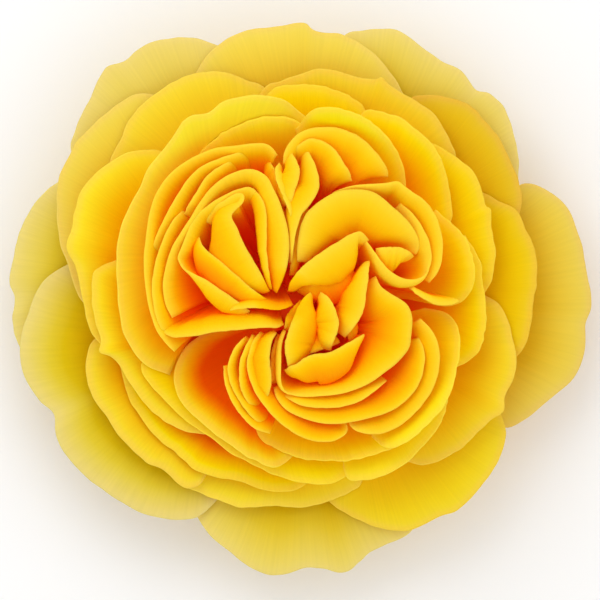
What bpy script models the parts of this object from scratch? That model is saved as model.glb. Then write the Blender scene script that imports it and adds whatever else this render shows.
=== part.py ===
"""One cut bloom of a yellow, many-petalled garden rose, lying face up.

The petals of the five outer whorls are single sheets. The heart is five folded bundles, called
quarters, whose petals are joined at the foot. A green hip carries them, with five turned-back
sepals and the short stub of the cut stem. Sizes in the tables are millimetres.
"""

import math

import bmesh
import bpy
from mathutils import Matrix, Vector

MM = 0.001

PETAL_THICK = 0.55
FOLD_THICK = 0.5
CLAW_SHARE = 0.5  # thickness at a petal's foot, as a share of the rest
CLAW_WIDTH = 0.3  # width of a petal's foot in angle, as a share of the rim's
WHORL_ACROSS = 12  # faces along the rim of an outer petal
CUP_ACROSS = 10  # and of a petal of the cup
WHORL_UP = 4  # faces from claw to rim
FOLD_FACE = 5.7  # length of a folded petal's faces along its rim
FOLD_ACROSS = (5, 15)  # the fewest and the most of them
FOLD_DEPTHS = (0.0, 0.05, 0.1, 0.4, 1.0)  # rows of a folded petal, as shares of the way from rim to foot

HEART_TOP = 46.0  # height of the heart's folds on the axis
HEART_DOME = 0.004  # how fast their rims drop outwards, per square millimetre of radius
HEART_LEVEL = 0.24  # the nested surface that the heart closes in with
FOLD_FOOT = 16.6  # height at which the folded petals end
LIP_DEPTH = 0.1  # share of a folded petal, from the rim, that is its turned lip
LIP_DROP = 0.8  # how far the narrowest lip falls
END_DROP = 2.5  # how far a folded petal's rim sinks at its ends
HEEL_RINGS = (14.6, 16.0, 18.0, 21.0, 24.0)  # heights of the cone in which a quarter's petals are joined
HEEL_GROWTH = 9.0  # the cone's radius at the heart's top, were it carried on that far
HEEL_LEAST = 0.75  # and at its point
HEEL_SIDES = 10

SEPAL_COUNT = 5
SEPAL_FIRST = 12.0
SEPAL_GRID = (4, 6)
SEPAL_THICK = 0.6
SEPAL_HALF_WIDTH = 3.0
SEPAL_CUP = 0.5
SEPAL_SPINE = ((7.8, 7.4), (12.5, 8.6), (18.0, 7.0), (22.5, 3.4), (26.0, 0.45))
HIP_PROFILE = ((0.0, 14.4), (1.8, 14.2), (3.8, 13.4), (5.4, 12.3), (6.3, 11.2), (6.8, 9.6), (7.0, 8.2),
               (6.5, 6.2), (5.0, 4.4), (3.2, 3.5), (0.0, 3.5))  # radius and height, from the top down
STUB_PROFILE = ((0.0, 3.2), (3.0, 3.2), (2.8, 1.6), (3.1, 0.0), (0.0, 0.0))

GUARD_COLOUR = (0.86, 0.66, 0.08)
CUP_COLOUR = (0.93, 0.53, 0.01)
HEART_COLOUR = (0.93, 0.47, 0.01)
HIP_COLOUR = (0.16, 0.27, 0.06)
STEM_COLOUR = (0.2, 0.3, 0.08)
SEPAL_COLOUR = (0.14, 0.25, 0.06)

# Sections through the nested petals, from the heart's axis (level 0) to the lowest petals (level 1):
# each row is a level and the radius and height of its surface at five steps from claw to beyond the rim.
LEVELS = (
    (0.00, ((0.0, 15.0), (0.0, 22.0), (0.0, 31.0), (0.0, 41.0), (0.0, 51.0))),
    (0.25, ((4.9, 13.7), (14.0, 20.0), (23.0, 29.0), (30.5, 38.5), (36.0, 48.0))),
    (0.50, ((6.6, 12.4), (17.5, 18.0), (29.0, 26.0), (38.5, 34.5), (46.0, 42.0))),
    (0.75, ((7.5, 10.9), (20.0, 15.0), (34.5, 20.5), (47.5, 26.0), (59.0, 29.0))),
    (1.00, ((7.6, 9.3), (21.0, 11.5), (37.0, 14.5), (52.0, 16.0), (66.0, 12.0))),
)

# Whorl petals: name, level, and the rim's points seen from above, with +Y up and the axis at 0, 0.
WHORLS = (
    ("guard_left", 1.00, ((-43, 26), (-48.2, 23.8), (-53.2, 19), (-56.4, 12.8), (-57.4, 7.6), (-58, 3.4),
        (-57, 0.6), (-57.6, -4), (-56, -9.6), (-50, -16))),
    ("guard_lower_left", 0.93, ((-45, 8), (-51, 4), (-54, -1.6), (-55.8, -9), (-55, -15.2), (-52, -20),
        (-49.2, -22.8), (-48.8, -27.4), (-44.8, -33.4), (-38, -39), (-30, -43.2), (-21.2, -43.8),
        (-15.6, -39))),
    ("guard_bottom", 1.00, ((-23, -39), (-19.4, -45.4), (-14.4, -50), (-9, -53.8), (-4, -55), (2, -53.4),
        (8.6, -54.6), (12, -52.4), (14, -50.4), (19, -48.2), (22.4, -46), (25, -40))),
    ("guard_right", 1.00, ((41, 19), (44.4, 23.2), (49, 22.2), (53, 19), (55.6, 13.6), (57, 7),
        (58.4, -0.4), (57, -5), (56.8, -10), (54.4, -15.8), (49, -20.6), (45, -24), (41, -25.6),
        (37, -22))),
    ("guard_upper_right", 0.93, ((5, 48), (9, 53), (12.4, 54), (16, 54.4), (20, 53.8), (24, 51),
        (28, 47.8), (32.2, 45.8), (35, 42), (38, 41.2), (41, 38), (43, 32), (43.8, 25), (42, 18))),
    ("guard_upper_left", 0.88, ((-12, 46), (-16.2, 50.8), (-24, 52.6), (-31, 50.8), (-35, 47.8),
        (-39, 46), (-42, 40), (-44.4, 35.6), (-46, 30.4), (-44, 25))),
    ("guard_top", 0.84, ((-22, 43), (-19, 48.4), (-16, 51), (-11.4, 53.6), (-6, 54.4), (0.4, 55.6),
        (3, 54), (9, 53), (14, 50), (17.6, 46.2), (20.4, 42), (22, 37))),
    ("guard_lower_right", 0.90, ((39, -20), (41, -25.4), (40.8, -29), (39.4, -32.6), (36.6, -36.6),
        (32, -41.6), (28, -43.4), (22, -46), (16, -45.8), (10, -43.2), (5.8, -40.2), (3, -36))),
    ("outer_upper_right", 0.81, ((19, 36), (22.6, 40.6), (28, 40.8), (33.6, 39.2), (36.8, 36.2),
        (39.8, 32), (42.8, 26), (44.4, 20), (43, 14))),
    ("outer_right", 0.76, ((34.4, 22.4), (37.6, 21), (40.6, 19.4), (43.2, 18), (45.2, 14.4), (47, 10),
        (47.6, 5), (46.8, -0.4), (45.6, -7), (44, -10.4), (40, -14))),
    ("outer_lower_right", 0.70, ((37, 1), (40, -1), (42.2, -6), (43.2, -11), (43, -15), (41, -19),
        (40.6, -22), (38, -24), (35.6, -26.4), (32.4, -29.6), (29, -31.6), (25, -33), (20, -32))),
    ("outer_lower_left", 0.77, ((-37, -4), (-41.6, -8.4), (-42.8, -13), (-41.6, -19), (-38, -24.6),
        (-35.6, -28), (-31.2, -32.2), (-27.4, -34), (-24.6, -36.4), (-22.4, -37.6), (-20, -36.8),
        (-18.6, -34.6))),
    ("outer_bottom", 0.84, ((-28, -33), (-23.6, -36.8), (-19.4, -38.8), (-14.4, -40.8), (-11, -41.6),
        (-5, -41.4), (0.6, -41.6), (4, -40.8), (7, -39.6), (11.6, -37.4), (13, -34))),
    ("outer_far_left", 0.81, ((-26, 40), (-32, 41.2), (-38.4, 37.6), (-44, 32.4), (-46.8, 27.8),
        (-48.4, 23.8), (-48.8, 19), (-48, 11.4), (-46.6, 7.6), (-44.2, 0.6), (-40, -3))),
    ("outer_left", 0.66, ((-25.6, 28.6), (-29, 30), (-34, 29.6), (-38, 27.4), (-41, 25), (-43.6, 22),
        (-45, 18.4), (-45.8, 14), (-46.8, 10.4), (-45, 6.6), (-44, 2), (-42.6, -4), (-40.2, -8.4),
        (-36, -11))),
    ("outer_upper_left", 0.76, ((-35, 23), (-38, 27.6), (-36.4, 31.2), (-34.6, 35.2), (-32, 38.6),
        (-28, 42), (-23, 44.8), (-18.6, 45.8), (-14.4, 45.4), (-10.6, 44), (-7.6, 42.8), (-4, 39))),
    ("outer_top", 0.68, ((-9, 40), (-6.4, 43), (-4, 43.6), (-1, 45), (3, 46.2), (7, 46), (10, 45),
        (15, 44.2), (16.4, 44.6), (18, 42.8), (21.6, 40.6), (26.4, 37.4), (29, 33.8), (31, 29.8),
        (31, 25))),
    ("middle_lower_left", 0.58, ((-37, 8), (-41.2, 5.6), (-41.8, 0), (-40.8, -4.4), (-39.8, -8),
        (-40, -10.4), (-37.6, -11.4), (-35.2, -14.6), (-32, -19.4), (-28.4, -23.2), (-23, -26.2),
        (-18, -27))),
    ("middle_bottom", 0.69, ((-36, -13), (-34.8, -18), (-32.6, -22.4), (-29, -27), (-25, -30.4),
        (-20.4, -34.2), (-16, -35.8), (-12, -36.4), (-8, -37.8), (-4, -38.4), (0, -37.6), (4, -34))),
    ("middle_long", 0.50, ((-30, -9), (-31.8, -13.2), (-30, -17), (-27, -20.2), (-24, -23), (-20, -26),
        (-17, -28), (-14, -30.4), (-11, -31.8), (-7.6, -33.8), (-3, -35.8), (0, -36.6), (4, -37),
        (7.4, -36.4), (12, -33))),
    ("middle_right", 0.60, ((22, 31), (26, 31.2), (29, 30), (32.6, 27.6), (35, 25.4), (36.4, 22),
        (37.2, 19), (38.3, 18), (38.4, 14), (39, 9.6), (38.6, 6), (37.6, 2.4), (34, -1))),
    ("middle_low_right", 0.51, ((33, 13), (36, 7.6), (36.8, 3), (37.2, -2), (37.2, -5), (36.6, -8),
        (35.4, -10.6), (33.4, -12.4), (30, -14))),
    ("middle_top", 0.60, ((-8, 39), (-5, 42.4), (0, 43), (4.4, 42.8), (7.6, 42), (10.4, 40.6), (13.2, 38),
        (15, 34))),
    ("cup_upper_left", 0.42, ((5, 33), (2.4, 35.6), (0, 37.6), (-3, 39.8), (-7.6, 40.8), (-12, 40.6),
        (-15.6, 39.6), (-18.4, 37.4), (-22.8, 36.2), (-26, 31.4), (-30, 26.4), (-32, 22.4), (-34.4, 18),
        (-36.2, 13.4), (-36.8, 7.6), (-36.6, 2), (-36, -4), (-34.8, -8.2), (-31, -13), (-26, -15))),
    ("cup_inner_top", 0.37, ((-23, 25), (-20, 29.6), (-17, 32.4), (-13.4, 34.6), (-9, 36.2), (-4.4, 36.6),
        (-0.4, 35.6), (3, 33))),
    ("cup_upper_right", 0.48, ((11, 34), (13, 38), (17, 37.6), (21, 36), (25, 32.6), (27.6, 29),
        (29.2, 25), (30.2, 20), (30.2, 16), (28, 12))),
    ("cup_top", 0.34, ((-1, 34), (2.4, 38), (6, 38.6), (9.4, 38), (13.6, 36), (16.8, 33.2), (19.4, 29.6),
        (20.8, 26), (21.2, 22.4), (20, 19))),
    ("cup_right", 0.38, ((27, 18), (30, 15.4), (32.2, 13.6), (33.6, 11), (34.8, 7.6), (35, 4.4),
        (34.2, 1.6), (32.4, -0.4), (29.4, -1.2), (26, -0.6))),
    ("cup_low_right", 0.46, ((29, -15), (29.4, -20.4), (28.2, -24.4), (25.4, -28.6), (21.4, -32.4),
        (17, -35), (13, -36), (9.8, -35.8), (8.6, -33.4))),
    ("cup_lower_right", 0.28, ((25, -1.6), (28.6, -2.4), (31, -4.2), (32.2, -8), (31.8, -12),
        (30.6, -16.8), (29.2, -20.2), (26.4, -24), (22.6, -27.4), (19.6, -29.3), (16.8, -29.4),
        (14.4, -27.4))),
    ("cup_bottom", 0.32, ((22, -26), (19.4, -29), (16, -30.4), (12.4, -31.6), (8.4, -32.2), (3.6, -32),
        (0, -31.6), (-4, -30.2), (-7.6, -28.2), (-10, -24))),
    ("cup_lower_left", 0.37, ((-17, -5), (-20, -7.2), (-22.8, -9.2), (-24.6, -12.4), (-25.2, -15.6),
        (-24.4, -19.4), (-22, -22.6), (-18, -26), (-13.6, -29.2), (-9, -32), (-4.4, -33.2), (0, -30))),
)

# The heart's quarters: name, the point its petals fold down towards, and its petals. Each petal has the fall
# of its turned lip for its width, the lip's widths along the rim, and the rim's points seen from above. The
# lip lies to the left of the rim as it runs, or to the right where its width is below 0.
QUARTERS = (
    ("left", (-10.6, 13.6), (
        (0.5, (1, 1.2, 1, 1, 1.2),
         ((-4.4, 29), (-5.6, 30.6), (-7.6, 31.4), (-12, 31), (-17, 30.4), (-20, 29.2), (-22.4, 28),
          (-25.6, 25.6), (-28.4, 22), (-30, 18), (-30.8, 13), (-31.2, 7.6), (-30.8, 2), (-29.8, -3),
          (-28.4, -6.6), (-26.8, -8.8), (-25.2, -10.4))),
        (0.5, (1, 1, 1, 1, 0.8),
         ((-10, 30.2), (-12.8, 29.4), (-16, 28.4), (-19, 27.2), (-21.4, 25.4), (-23.4, 22.8),
          (-25.4, 19.6), (-27.2, 16.2), (-28.8, 12.6), (-29.8, 9))),
        (0.5, (0.8, 1, 1.2, 1.2, 1),
         ((-23.4, 18), (-25, 16.4), (-26.4, 14.4), (-27.4, 12.2), (-28.4, 9.6), (-29.2, 6.4),
          (-29.6, 3), (-29.4, -0.4), (-28.6, -4), (-27, -7.2))),
        (0.5, (0.8, 1.2, 1.2, 0.8),
         ((-13.2, 28.2), (-15.2, 27.2), (-17.8, 25.6), (-19.4, 23.8), (-20.8, 21.6), (-22.2, 19.2),
          (-23.2, 17.2))),
        (0.5, (0.8, 5.5, 6, 3.5, 1.6, 1, 1, 1, 1, 1),
         ((-4.6, 1.4), (-3.4, 4), (-2.4, 7.6), (-2.2, 11.6), (-2.8, 15.6), (-4, 19.4), (-5.4, 22.4),
          (-6.6, 24.6), (-8.6, 26), (-11, 26.2), (-14, 25.2), (-16.6, 23.6), (-18.6, 21.6),
          (-20.4, 19), (-22, 16.4), (-23.8, 13.6), (-25.6, 10.6), (-26.8, 7), (-27.4, 3), (-27, -0.6),
          (-25.6, -3.6))),
        (0.5, (0.6, 1.2, 1.6, 2, 2.4, 2.4, 1.6),
         ((-5.6, 2.2), (-6.2, 5.8), (-6.6, 9.6), (-6.6, 13), (-6.6, 16.4), (-7, 18.8), (-8, 20.8),
          (-9.4, 22.4))),
        (0.6, (2, 1.6, 1.4, 1.2, 1.2, 0.8, -0.6, -4, -5, -2),
         ((-7.8, 20.2), (-8.6, 21.6), (-10, 22.6), (-11.6, 22.4), (-13.6, 21.8), (-16, 20.6),
          (-18.4, 19), (-20.4, 17.4), (-21.8, 15.2), (-22.8, 12.8), (-23.8, 10.2), (-24.4, 8.2),
          (-23.4, 6.6), (-21.4, 5.4), (-19, 4.2), (-16, 2.2), (-13, 0.2), (-10, -2.2))),
        (0.6, (-1, -6, -8, -7, -4, -1),
         ((-20.2, 12.6), (-19.4, 10.8), (-18, 9.4), (-16, 7.8), (-13.4, 5.6), (-10.6, 3.2),
          (-8.4, 1.4), (-6.4, 0))),
        (0.25, (-1.2, -2.4, -3, -1, -4.5, -8.5, -8.5, -6, -1.5),
         ((-19, 15.6), (-18.2, 17.8), (-16.6, 19.2), (-14.8, 20.2), (-12.6, 21.4), (-11.2, 21),
          (-11.4, 19.4), (-12.8, 18), (-13.6, 16.6), (-12.8, 14.8), (-12, 12.8), (-10.8, 10.4),
          (-9.4, 8), (-7.6, 5), (-6, 1.8))),
        (0.5, (0.8, 2.2, 2.6, 2.4, 2, 0.8),
         ((-28, -6.2), (-25.6, -7.4), (-22.8, -7.4), (-20, -7), (-17, -6.4), (-13, -6), (-10, -5.8),
          (-7, -5.6), (-4.6, -5.6), (-3.2, -5))),
        (0.5, (0.6, 1.4, 1.2, 0.6),
         ((-14.4, -2.2), (-12, -1.8), (-9.6, -1.6), (-7.2, -1.8), (-4.6, -2), (-2.6, -1.6),
          (-1.4, -1))),
    )),
    ("top", (1.2, 20.4), (
        (0.6, (-0.8, -1.6, -3, -4, -5.5, -6.5, -6.5, -6),
         ((-3.4, 27.2), (-3.2, 29.4), (-2.2, 31.4), (-0.6, 33.2), (1.6, 34.2), (4.4, 34.6),
          (7.6, 34.4), (10.4, 33.4), (13, 31.8), (15.2, 29.6), (16.8, 27.4), (17.6, 25.8),
          (17.6, 24.6))),
        (0.7, (-0.8, -2.5, -4, -4.5, -4.5, -3.5),
         ((-1.6, 30), (0, 31.2), (1.8, 32.2), (4, 32), (6, 31), (7.6, 29.4), (8.8, 27.4), (10, 25.6),
          (10.4, 23.8))),
        (0.4, (-1.2, -3.6, -5, -4, -1.5),
         ((-1.8, 29.8), (-0.6, 27.8), (0, 25.8), (-0.4, 23.6), (-1.2, 21.2), (-2, 18.6))),
        (0.4, (0.6, 1.6, 1.8, 1.2, 0.8, 0.6),
         ((-4.2, 27.4), (-5, 26.2), (-4.8, 24), (-3.8, 21.6), (-2.8, 19.2), (-2, 16.8), (-1.6, 14.4))),
        (0.5, (-0.6, -2.8, -4.5, -6, -5.5, -3.5, -1.5, -0.8, -0.6),
         ((1, 30.8), (2.2, 28.8), (3.2, 26.6), (3.8, 24.4), (3.8, 22.4), (3, 20.6), (1.8, 18.8),
          (0.4, 17), (-0.4, 14.8), (-1, 12.4), (-1.4, 9.6), (-1.6, 7.4))),
    )),
    ("right", (13.4, 12.4), (
        (0.5, (-0.6, -0.8, -1, -1.4, -1.8, -2.2, -2.4, -2.4, -2, -1),
         ((6.4, 21.4), (8.8, 22.4), (11.6, 23), (14.4, 23.2), (17.2, 23.4), (19.6, 23.8), (21, 22.8),
          (22.6, 21.6), (24.6, 20.2), (26.2, 18.4), (27.6, 15.8), (28.4, 12.8), (28.6, 9.8),
          (28.2, 7.2), (27.2, 5), (25.8, 3.4))),
        (0.5, (-2, -5.5, -8, -9, -8.5, -8, -7.5, -6.5, -3.5, -0.8),
         ((-0.6, 7.6), (-0.6, 10), (-0.2, 12.8), (0.4, 15.4), (1.4, 17.4), (3, 19), (5.2, 20.6),
          (7.6, 21.8), (10.4, 22.2), (13.2, 22), (15.8, 21), (18, 19.2), (20, 17.4), (22, 15.4),
          (23.4, 13), (24, 10.8), (23.2, 9))),
        (0.5, (-0.8, -1.4, -1.6, -1.4, -0.6, 1.2, 2, 1.6, 0.5, 0.4),
         ((20, 19.4), (22.2, 17.6), (24, 15.4), (25.4, 12.8), (26.2, 10), (26.2, 7.4), (25.2, 5.4),
          (23.4, 4.2), (21, 4.2), (18.8, 5.2), (17.2, 6.6), (15.6, 8.6), (14.4, 10.4), (13.2, 12.2))),
        (0.4, (-1, -4.4, -5.4, -4.8, -1.4),
         ((15.2, 10.4), (17, 10.6), (18.8, 10.6), (20.4, 10.4), (21.8, 9.8), (22.8, 8.8))),
        (0.5, (0.8, 1.2, 1.4, 1.2, 0.4),
         ((21.8, 2.4), (23.4, 1), (25.4, -0.2), (27.6, -1), (30, -1), (31.8, -0.2))),
        (0.4, (-1, -3.5, -6.5, -7.5, -6.5, -3.5, -1),
         ((-2.4, 1.8), (-2, 3.6), (-0.8, 5.4), (0.8, 7), (2.8, 8.6), (5.2, 10.2), (7.8, 11.8),
          (10.2, 13.2), (12.2, 13.6), (13.8, 12))),
    )),
    ("lower", (3.2, -9.2), (
        (0.8, (-0.8, -1.4, -1.2, 1, 1, 1.4, 3.5, 6, 7, 7, 5, 1),
         ((-2.8, -6.2), (-3.6, -8.6), (-3.8, -11.2), (-3.8, -14), (-3.8, -16.4), (-3, -18.2),
          (-1, -19.2), (1.8, -19.4), (4.8, -19.2), (8, -18.8), (11, -18), (13.6, -16.8), (16, -15.2),
          (18.4, -13.4), (20.4, -11.6), (21.8, -9.4), (22.2, -6.6), (22.4, -3.6), (21.6, -1.2),
          (20, 0.2), (18, 1.4), (16.2, 2.8), (15.2, 4.8))),
        (0.5, (0.8, 1.6, 1.8, 1.6, 0.3),
         ((-3.2, -19.2), (-1.4, -20.4), (1.4, -21.4), (5, -21.6), (8.2, -21.4), (11, -20.6),
          (13.4, -19.4), (15.6, -17.8), (17.4, -16.2))),
        (0.6, (0.8, 2.2, 2.6, 2.6, 2.4, 2.6, 3, 2.6, 1.6),
         ((-5.4, -17.6), (-4.8, -19.6), (-3.4, -21.4), (-1.4, -22.8), (0.6, -23.6), (3.8, -24.6),
          (7, -24.8), (10.2, -24.4), (13.2, -23.8), (16.2, -23), (19, -21.8), (21.4, -20),
          (23.2, -17.8), (24.4, -15.2), (25, -12.2), (24.8, -9.6), (23.8, -7.4))),
        (0.6, (0.8, 2, 2.6, 2.8, 2.8, 2.6, 2, 1.2),
         ((9.6, -24), (10.2, -25.4), (11.8, -26.4), (14.2, -26.8), (17, -26.6), (20.2, -25),
          (23, -22.6), (25.4, -19.8), (27, -17), (27.8, -14), (28, -11), (27.4, -8.2), (26, -5.6),
          (24, -3.6))),
        (0.6, (0.8, 1.4, 1.6, 1.6, 2, 2.8, 3, 2.4, 1),
         ((-8, -6.2), (-9.4, -8), (-10.2, -10.2), (-10.6, -12.8), (-10.2, -15.6), (-9.2, -18.2),
          (-7.6, -20.6), (-5.8, -22.8), (-3.4, -25), (-0.8, -26.8), (2, -28), (4.8, -28.4), (7.4, -28),
          (9.2, -26.8), (9.6, -25.4), (9, -24))),
        (0.5, (0.8, 1, 1, 0.8),
         ((-15.4, -13.2), (-15.2, -16), (-14.2, -19.2), (-12.6, -22), (-10.6, -24.4), (-8.4, -26),
          (-6, -26.8))),
        (0.5, (0.8, 1, 1.2, 1, 0.8),
         ((-10.8, -7.2), (-12.4, -8.6), (-13.6, -10.4), (-14.4, -13), (-14.2, -16), (-13, -18.8),
          (-11.2, -21.6), (-9.2, -23.8), (-7.2, -25.2))),
        (0.5, (0.8, 1, 1, 0.8),
         ((-9.6, -6.8), (-10.8, -9), (-11.8, -11.6), (-12.2, -14.4), (-12, -17.4), (-10.8, -20),
          (-9, -22.2))),
        (0.5, (-0.8, -3, -5, -5.5, -4.5, -1.5),
         ((-4.6, -6.6), (-5.6, -8.4), (-6, -10.4), (-6, -12.8), (-5.8, -15.2), (-5.8, -17.4),
          (-6.4, -19.2), (-7.6, -19.8))),
        (0.6, (0.8, 4, 5.5, 6, 5.5, 3),
         ((2, 1.6), (0.8, 0.6), (-0.4, -1.4), (-1.4, -3.8), (-2.4, -6.4), (-3, -9), (-2.8, -11.6),
          (-2.4, -14))),
        (0.6, (-0.8, -3, -4.5, -4.5, -3.5, -1.5),
         ((4.2, 1.6), (5.6, 0.6), (6.6, -0.8), (7.4, -2.6), (7.8, -4.6), (7.4, -6.6), (6.6, -8.6),
          (6.2, -10.2))),
        (0.5, (-0.8, -2.2, -3.8, -4.2, -3.5, -1.5),
         ((14, 7.8), (13.8, 6), (13.6, 4), (13.2, 1), (12.8, -1.6), (12, -3.8), (10.4, -6), (9, -7.6))),
        (0.4, (-2, -5.5, -7.5, -7.5, -6, -3, -0.6),
         ((-3.2, -14), (-2, -13.2), (-0.6, -12.6), (1.2, -11.4), (3.2, -10.8), (5.4, -10.6),
          (7.4, -9.8), (9.4, -8.6), (11.2, -7.6), (12.8, -6.8))),
    )),
)


def catmull(points, count):
    """count + 1 points, evenly spaced along a smooth curve through points."""
    pts = [Vector(p) for p in points]
    ends = [2 * pts[0] - pts[1]] + pts + [2 * pts[-1] - pts[-2]]
    fine = []
    per_span = 12
    for a, b, c, d in zip(ends, ends[1:], ends[2:], ends[3:]):
        for step in range(per_span):
            t = step / per_span
            fine.append(0.5 * (2 * b + (c - a) * t + (2 * a - 5 * b + 4 * c - d) * t * t
                               + (3 * b - a - 3 * c + d) * t ** 3))
    fine.append(pts[-1])
    reach = [0.0]
    for p, q in zip(fine, fine[1:]):
        reach.append(reach[-1] + (q - p).length)
    found, k = [], 0
    for step in range(count + 1):
        want = reach[-1] * step / count
        while k < len(reach) - 2 and reach[k + 1] < want:
            k += 1
        share = (want - reach[k]) / max(reach[k + 1] - reach[k], 1e-9)
        found.append(fine[k].lerp(fine[k + 1], min(max(share, 0.0), 1.0)))
    return found


def section(knots, v):
    """Point at v, 0 to 1, on a smooth curve through evenly spaced knots."""
    last = len(knots) - 1
    k = min(int(v * last), last - 1)
    t = v * last - k
    b, c = Vector(knots[k]), Vector(knots[k + 1])
    a = Vector(knots[k - 1]) if k > 0 else 2 * b - c
    d = Vector(knots[k + 2]) if k + 2 <= last else 2 * c - b
    square = (2 * a - 5 * b + 4 * c - d) * t * t
    cube = (3 * b - a - 3 * c + d) * t ** 3
    return 0.5 * (2 * b + (c - a) * t + square + cube)


def nest(level, v):
    """Radius and height on the nested surface of a level, at v from claw to rim."""
    for (low, near), (high, far) in zip(LEVELS, LEVELS[1:]):
        if level <= high:
            break
    share = (level - low) / (high - low)
    return section(near, v).lerp(section(far, v), share)


def find_on(level, axis, value):
    """How far up a level's surface its radius (axis 0) or height (axis 1) comes to a value."""
    low, high = 0.0, 1.0
    for _ in range(24):
        middle = (low + high) / 2
        if nest(level, middle)[axis] < value:
            low = middle
        else:
            high = middle
    return (low + high) / 2


def whorl_surface(level, rim, across, up):
    """Rows of points from claw to rim of a petal that follows its level's surface."""
    edge = catmull(rim, across)
    angles = [math.atan2(edge[0].y, edge[0].x)]
    for p in edge[1:]:
        turn = math.atan2(p.y, p.x) - angles[-1]
        angles.append(angles[-1] + (turn + math.pi) % (2 * math.pi) - math.pi)
    middle = (angles[0] + angles[-1]) / 2
    tops = [find_on(level, 0, p.length) for p in edge]
    rows = []
    for j in range(up + 1):
        v = j / up
        width = CLAW_WIDTH + (1 - CLAW_WIDTH) * v ** 0.75
        row = []
        for angle, top in zip(angles, tops):
            radius, height = nest(level, top * v)
            turned = middle + (angle - middle) * width
            row.append(Vector((radius * math.cos(turned), radius * math.sin(turned), height)))
        rows.append(row)
    return rows


def closing(height):
    """How far the heart has closed in at a height: 1 at its top, less towards the foot."""
    return nest(HEART_LEVEL, find_on(HEART_LEVEL, 1, height))[0] / nest(
        HEART_LEVEL, find_on(HEART_LEVEL, 1, HEART_TOP))[0]


def spread(values, share):
    """The value a share of the way along evenly spaced values."""
    place = share * (len(values) - 1)
    k = min(int(place), len(values) - 2)
    return values[k] + (values[k + 1] - values[k]) * (place - k)


def fold_surface(centre, fall, lips, rim, depths):
    """Rows of points from foot to rim of a folded petal: a turned lip, then a wall to the foot."""
    middle = Vector(centre)
    length = sum((Vector(b) - Vector(a)).length for a, b in zip(rim, rim[1:]))
    across = min(max(round(length / FOLD_FACE), FOLD_ACROSS[0]), FOLD_ACROSS[1])
    edge = catmull(rim, across)
    ahead = [edge[min(i + 1, across)] - edge[max(i - 1, 0)] for i in range(across + 1)]
    left = [Vector((-t.y, t.x)).normalized() for t in ahead]
    rows = []
    for depth in reversed(depths):
        turn = min(1.0, depth / LIP_DEPTH) * math.pi / 2
        sunk = max(0.0, (depth - LIP_DEPTH) / (1 - LIP_DEPTH))
        row = []
        for i, p in enumerate(edge):
            width = spread(lips, i / across)
            label = p + left[i] * width * math.sin(turn)
            top = HEART_TOP - HEART_DOME * p.length_squared - END_DROP * abs(2 * i / across - 1) ** 6
            height = top - (LIP_DROP + fall * abs(width)) * (1 - math.cos(turn))
            height -= (height - FOLD_FOOT) * sunk
            here = closing(height) / closing(top)
            out = (label - middle) * here * here
            row.append(Vector((middle.x * here + out.x, middle.y * here + out.y, height)))
        rows.append(row)
    return rows


def sheet_object(name, rows, thick, collection):
    """An open sheet through rows of points, thickened evenly to both sides, thinner at the claw."""
    mesh = bpy.data.meshes.new(name)
    bm = bmesh.new()
    made = [[bm.verts.new(p * MM) for p in row] for row in rows]
    for lower, upper in zip(made, made[1:]):
        for a, b, c, d in zip(lower, lower[1:], upper[1:], upper):
            bm.faces.new((a, b, c, d))
    bmesh.ops.recalc_face_normals(bm, faces=bm.faces)
    bm.to_mesh(mesh)
    bm.free()
    obj = bpy.data.objects.new(name, mesh)
    collection.objects.link(obj)
    group = obj.vertex_groups.new(name="thick")
    across = len(rows[0])
    for j in range(len(rows)):
        share = min(1.0, CLAW_SHARE + (1 - CLAW_SHARE) * 3 * j / (len(rows) - 1))
        group.add(list(range(j * across, (j + 1) * across)), share, "REPLACE")
    solidify = obj.modifiers.new("thickness", "SOLIDIFY")
    solidify.thickness = thick * MM
    solidify.offset = 0.0
    solidify.vertex_group = group.name
    return obj


def turned(name, profile, steps, collection):
    """A body turned about the Z axis from a profile of radii and heights that runs down its outer side."""
    mesh = bpy.data.meshes.new(name)
    bm = bmesh.new()
    points = [bm.verts.new((radius * MM, 0.0, height * MM)) for radius, height in profile]
    for upper, lower in zip(points, points[1:]):
        bm.edges.new((upper, lower))
    bm.to_mesh(mesh)
    bm.free()
    obj = bpy.data.objects.new(name, mesh)
    collection.objects.link(obj)
    screw = obj.modifiers.new("turn", "SCREW")
    screw.steps = steps
    screw.render_steps = steps
    screw.use_merge_vertices = True
    screw.merge_threshold = 0.00001
    screw.use_smooth_shade = True
    return obj


def loft(name, rings, collection):
    """A closed body through rings of points, with a flat cap at either end."""
    mesh = bpy.data.meshes.new(name)
    bm = bmesh.new()
    made = [[bm.verts.new(p * MM) for p in ring] for ring in rings]
    for lower, upper in zip(made, made[1:]):
        for a, b, c, d in zip(lower, lower[1:] + lower[:1], upper[1:] + upper[:1], upper):
            bm.faces.new((a, b, c, d))
    bm.faces.new(made[0])
    bm.faces.new(made[-1])
    bmesh.ops.recalc_face_normals(bm, faces=bm.faces)
    bm.to_mesh(mesh)
    bm.free()
    obj = bpy.data.objects.new(name, mesh)
    collection.objects.link(obj)
    return obj


def heel(name, centre, collection):
    """The foot in which a quarter's petals are joined: a slender cone along the quarter's axis."""
    rings = []
    for height in HEEL_RINGS:
        here = closing(height)
        radius = HEEL_GROWTH * here * here + HEEL_LEAST
        middle = Vector((centre[0] * here, centre[1] * here, height))
        turns = [2 * math.pi * k / HEEL_SIDES for k in range(HEEL_SIDES)]
        rings.append([middle + radius * Vector((math.cos(t), math.sin(t), 0.0)) for t in turns])
    return loft(name, rings, collection)


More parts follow.
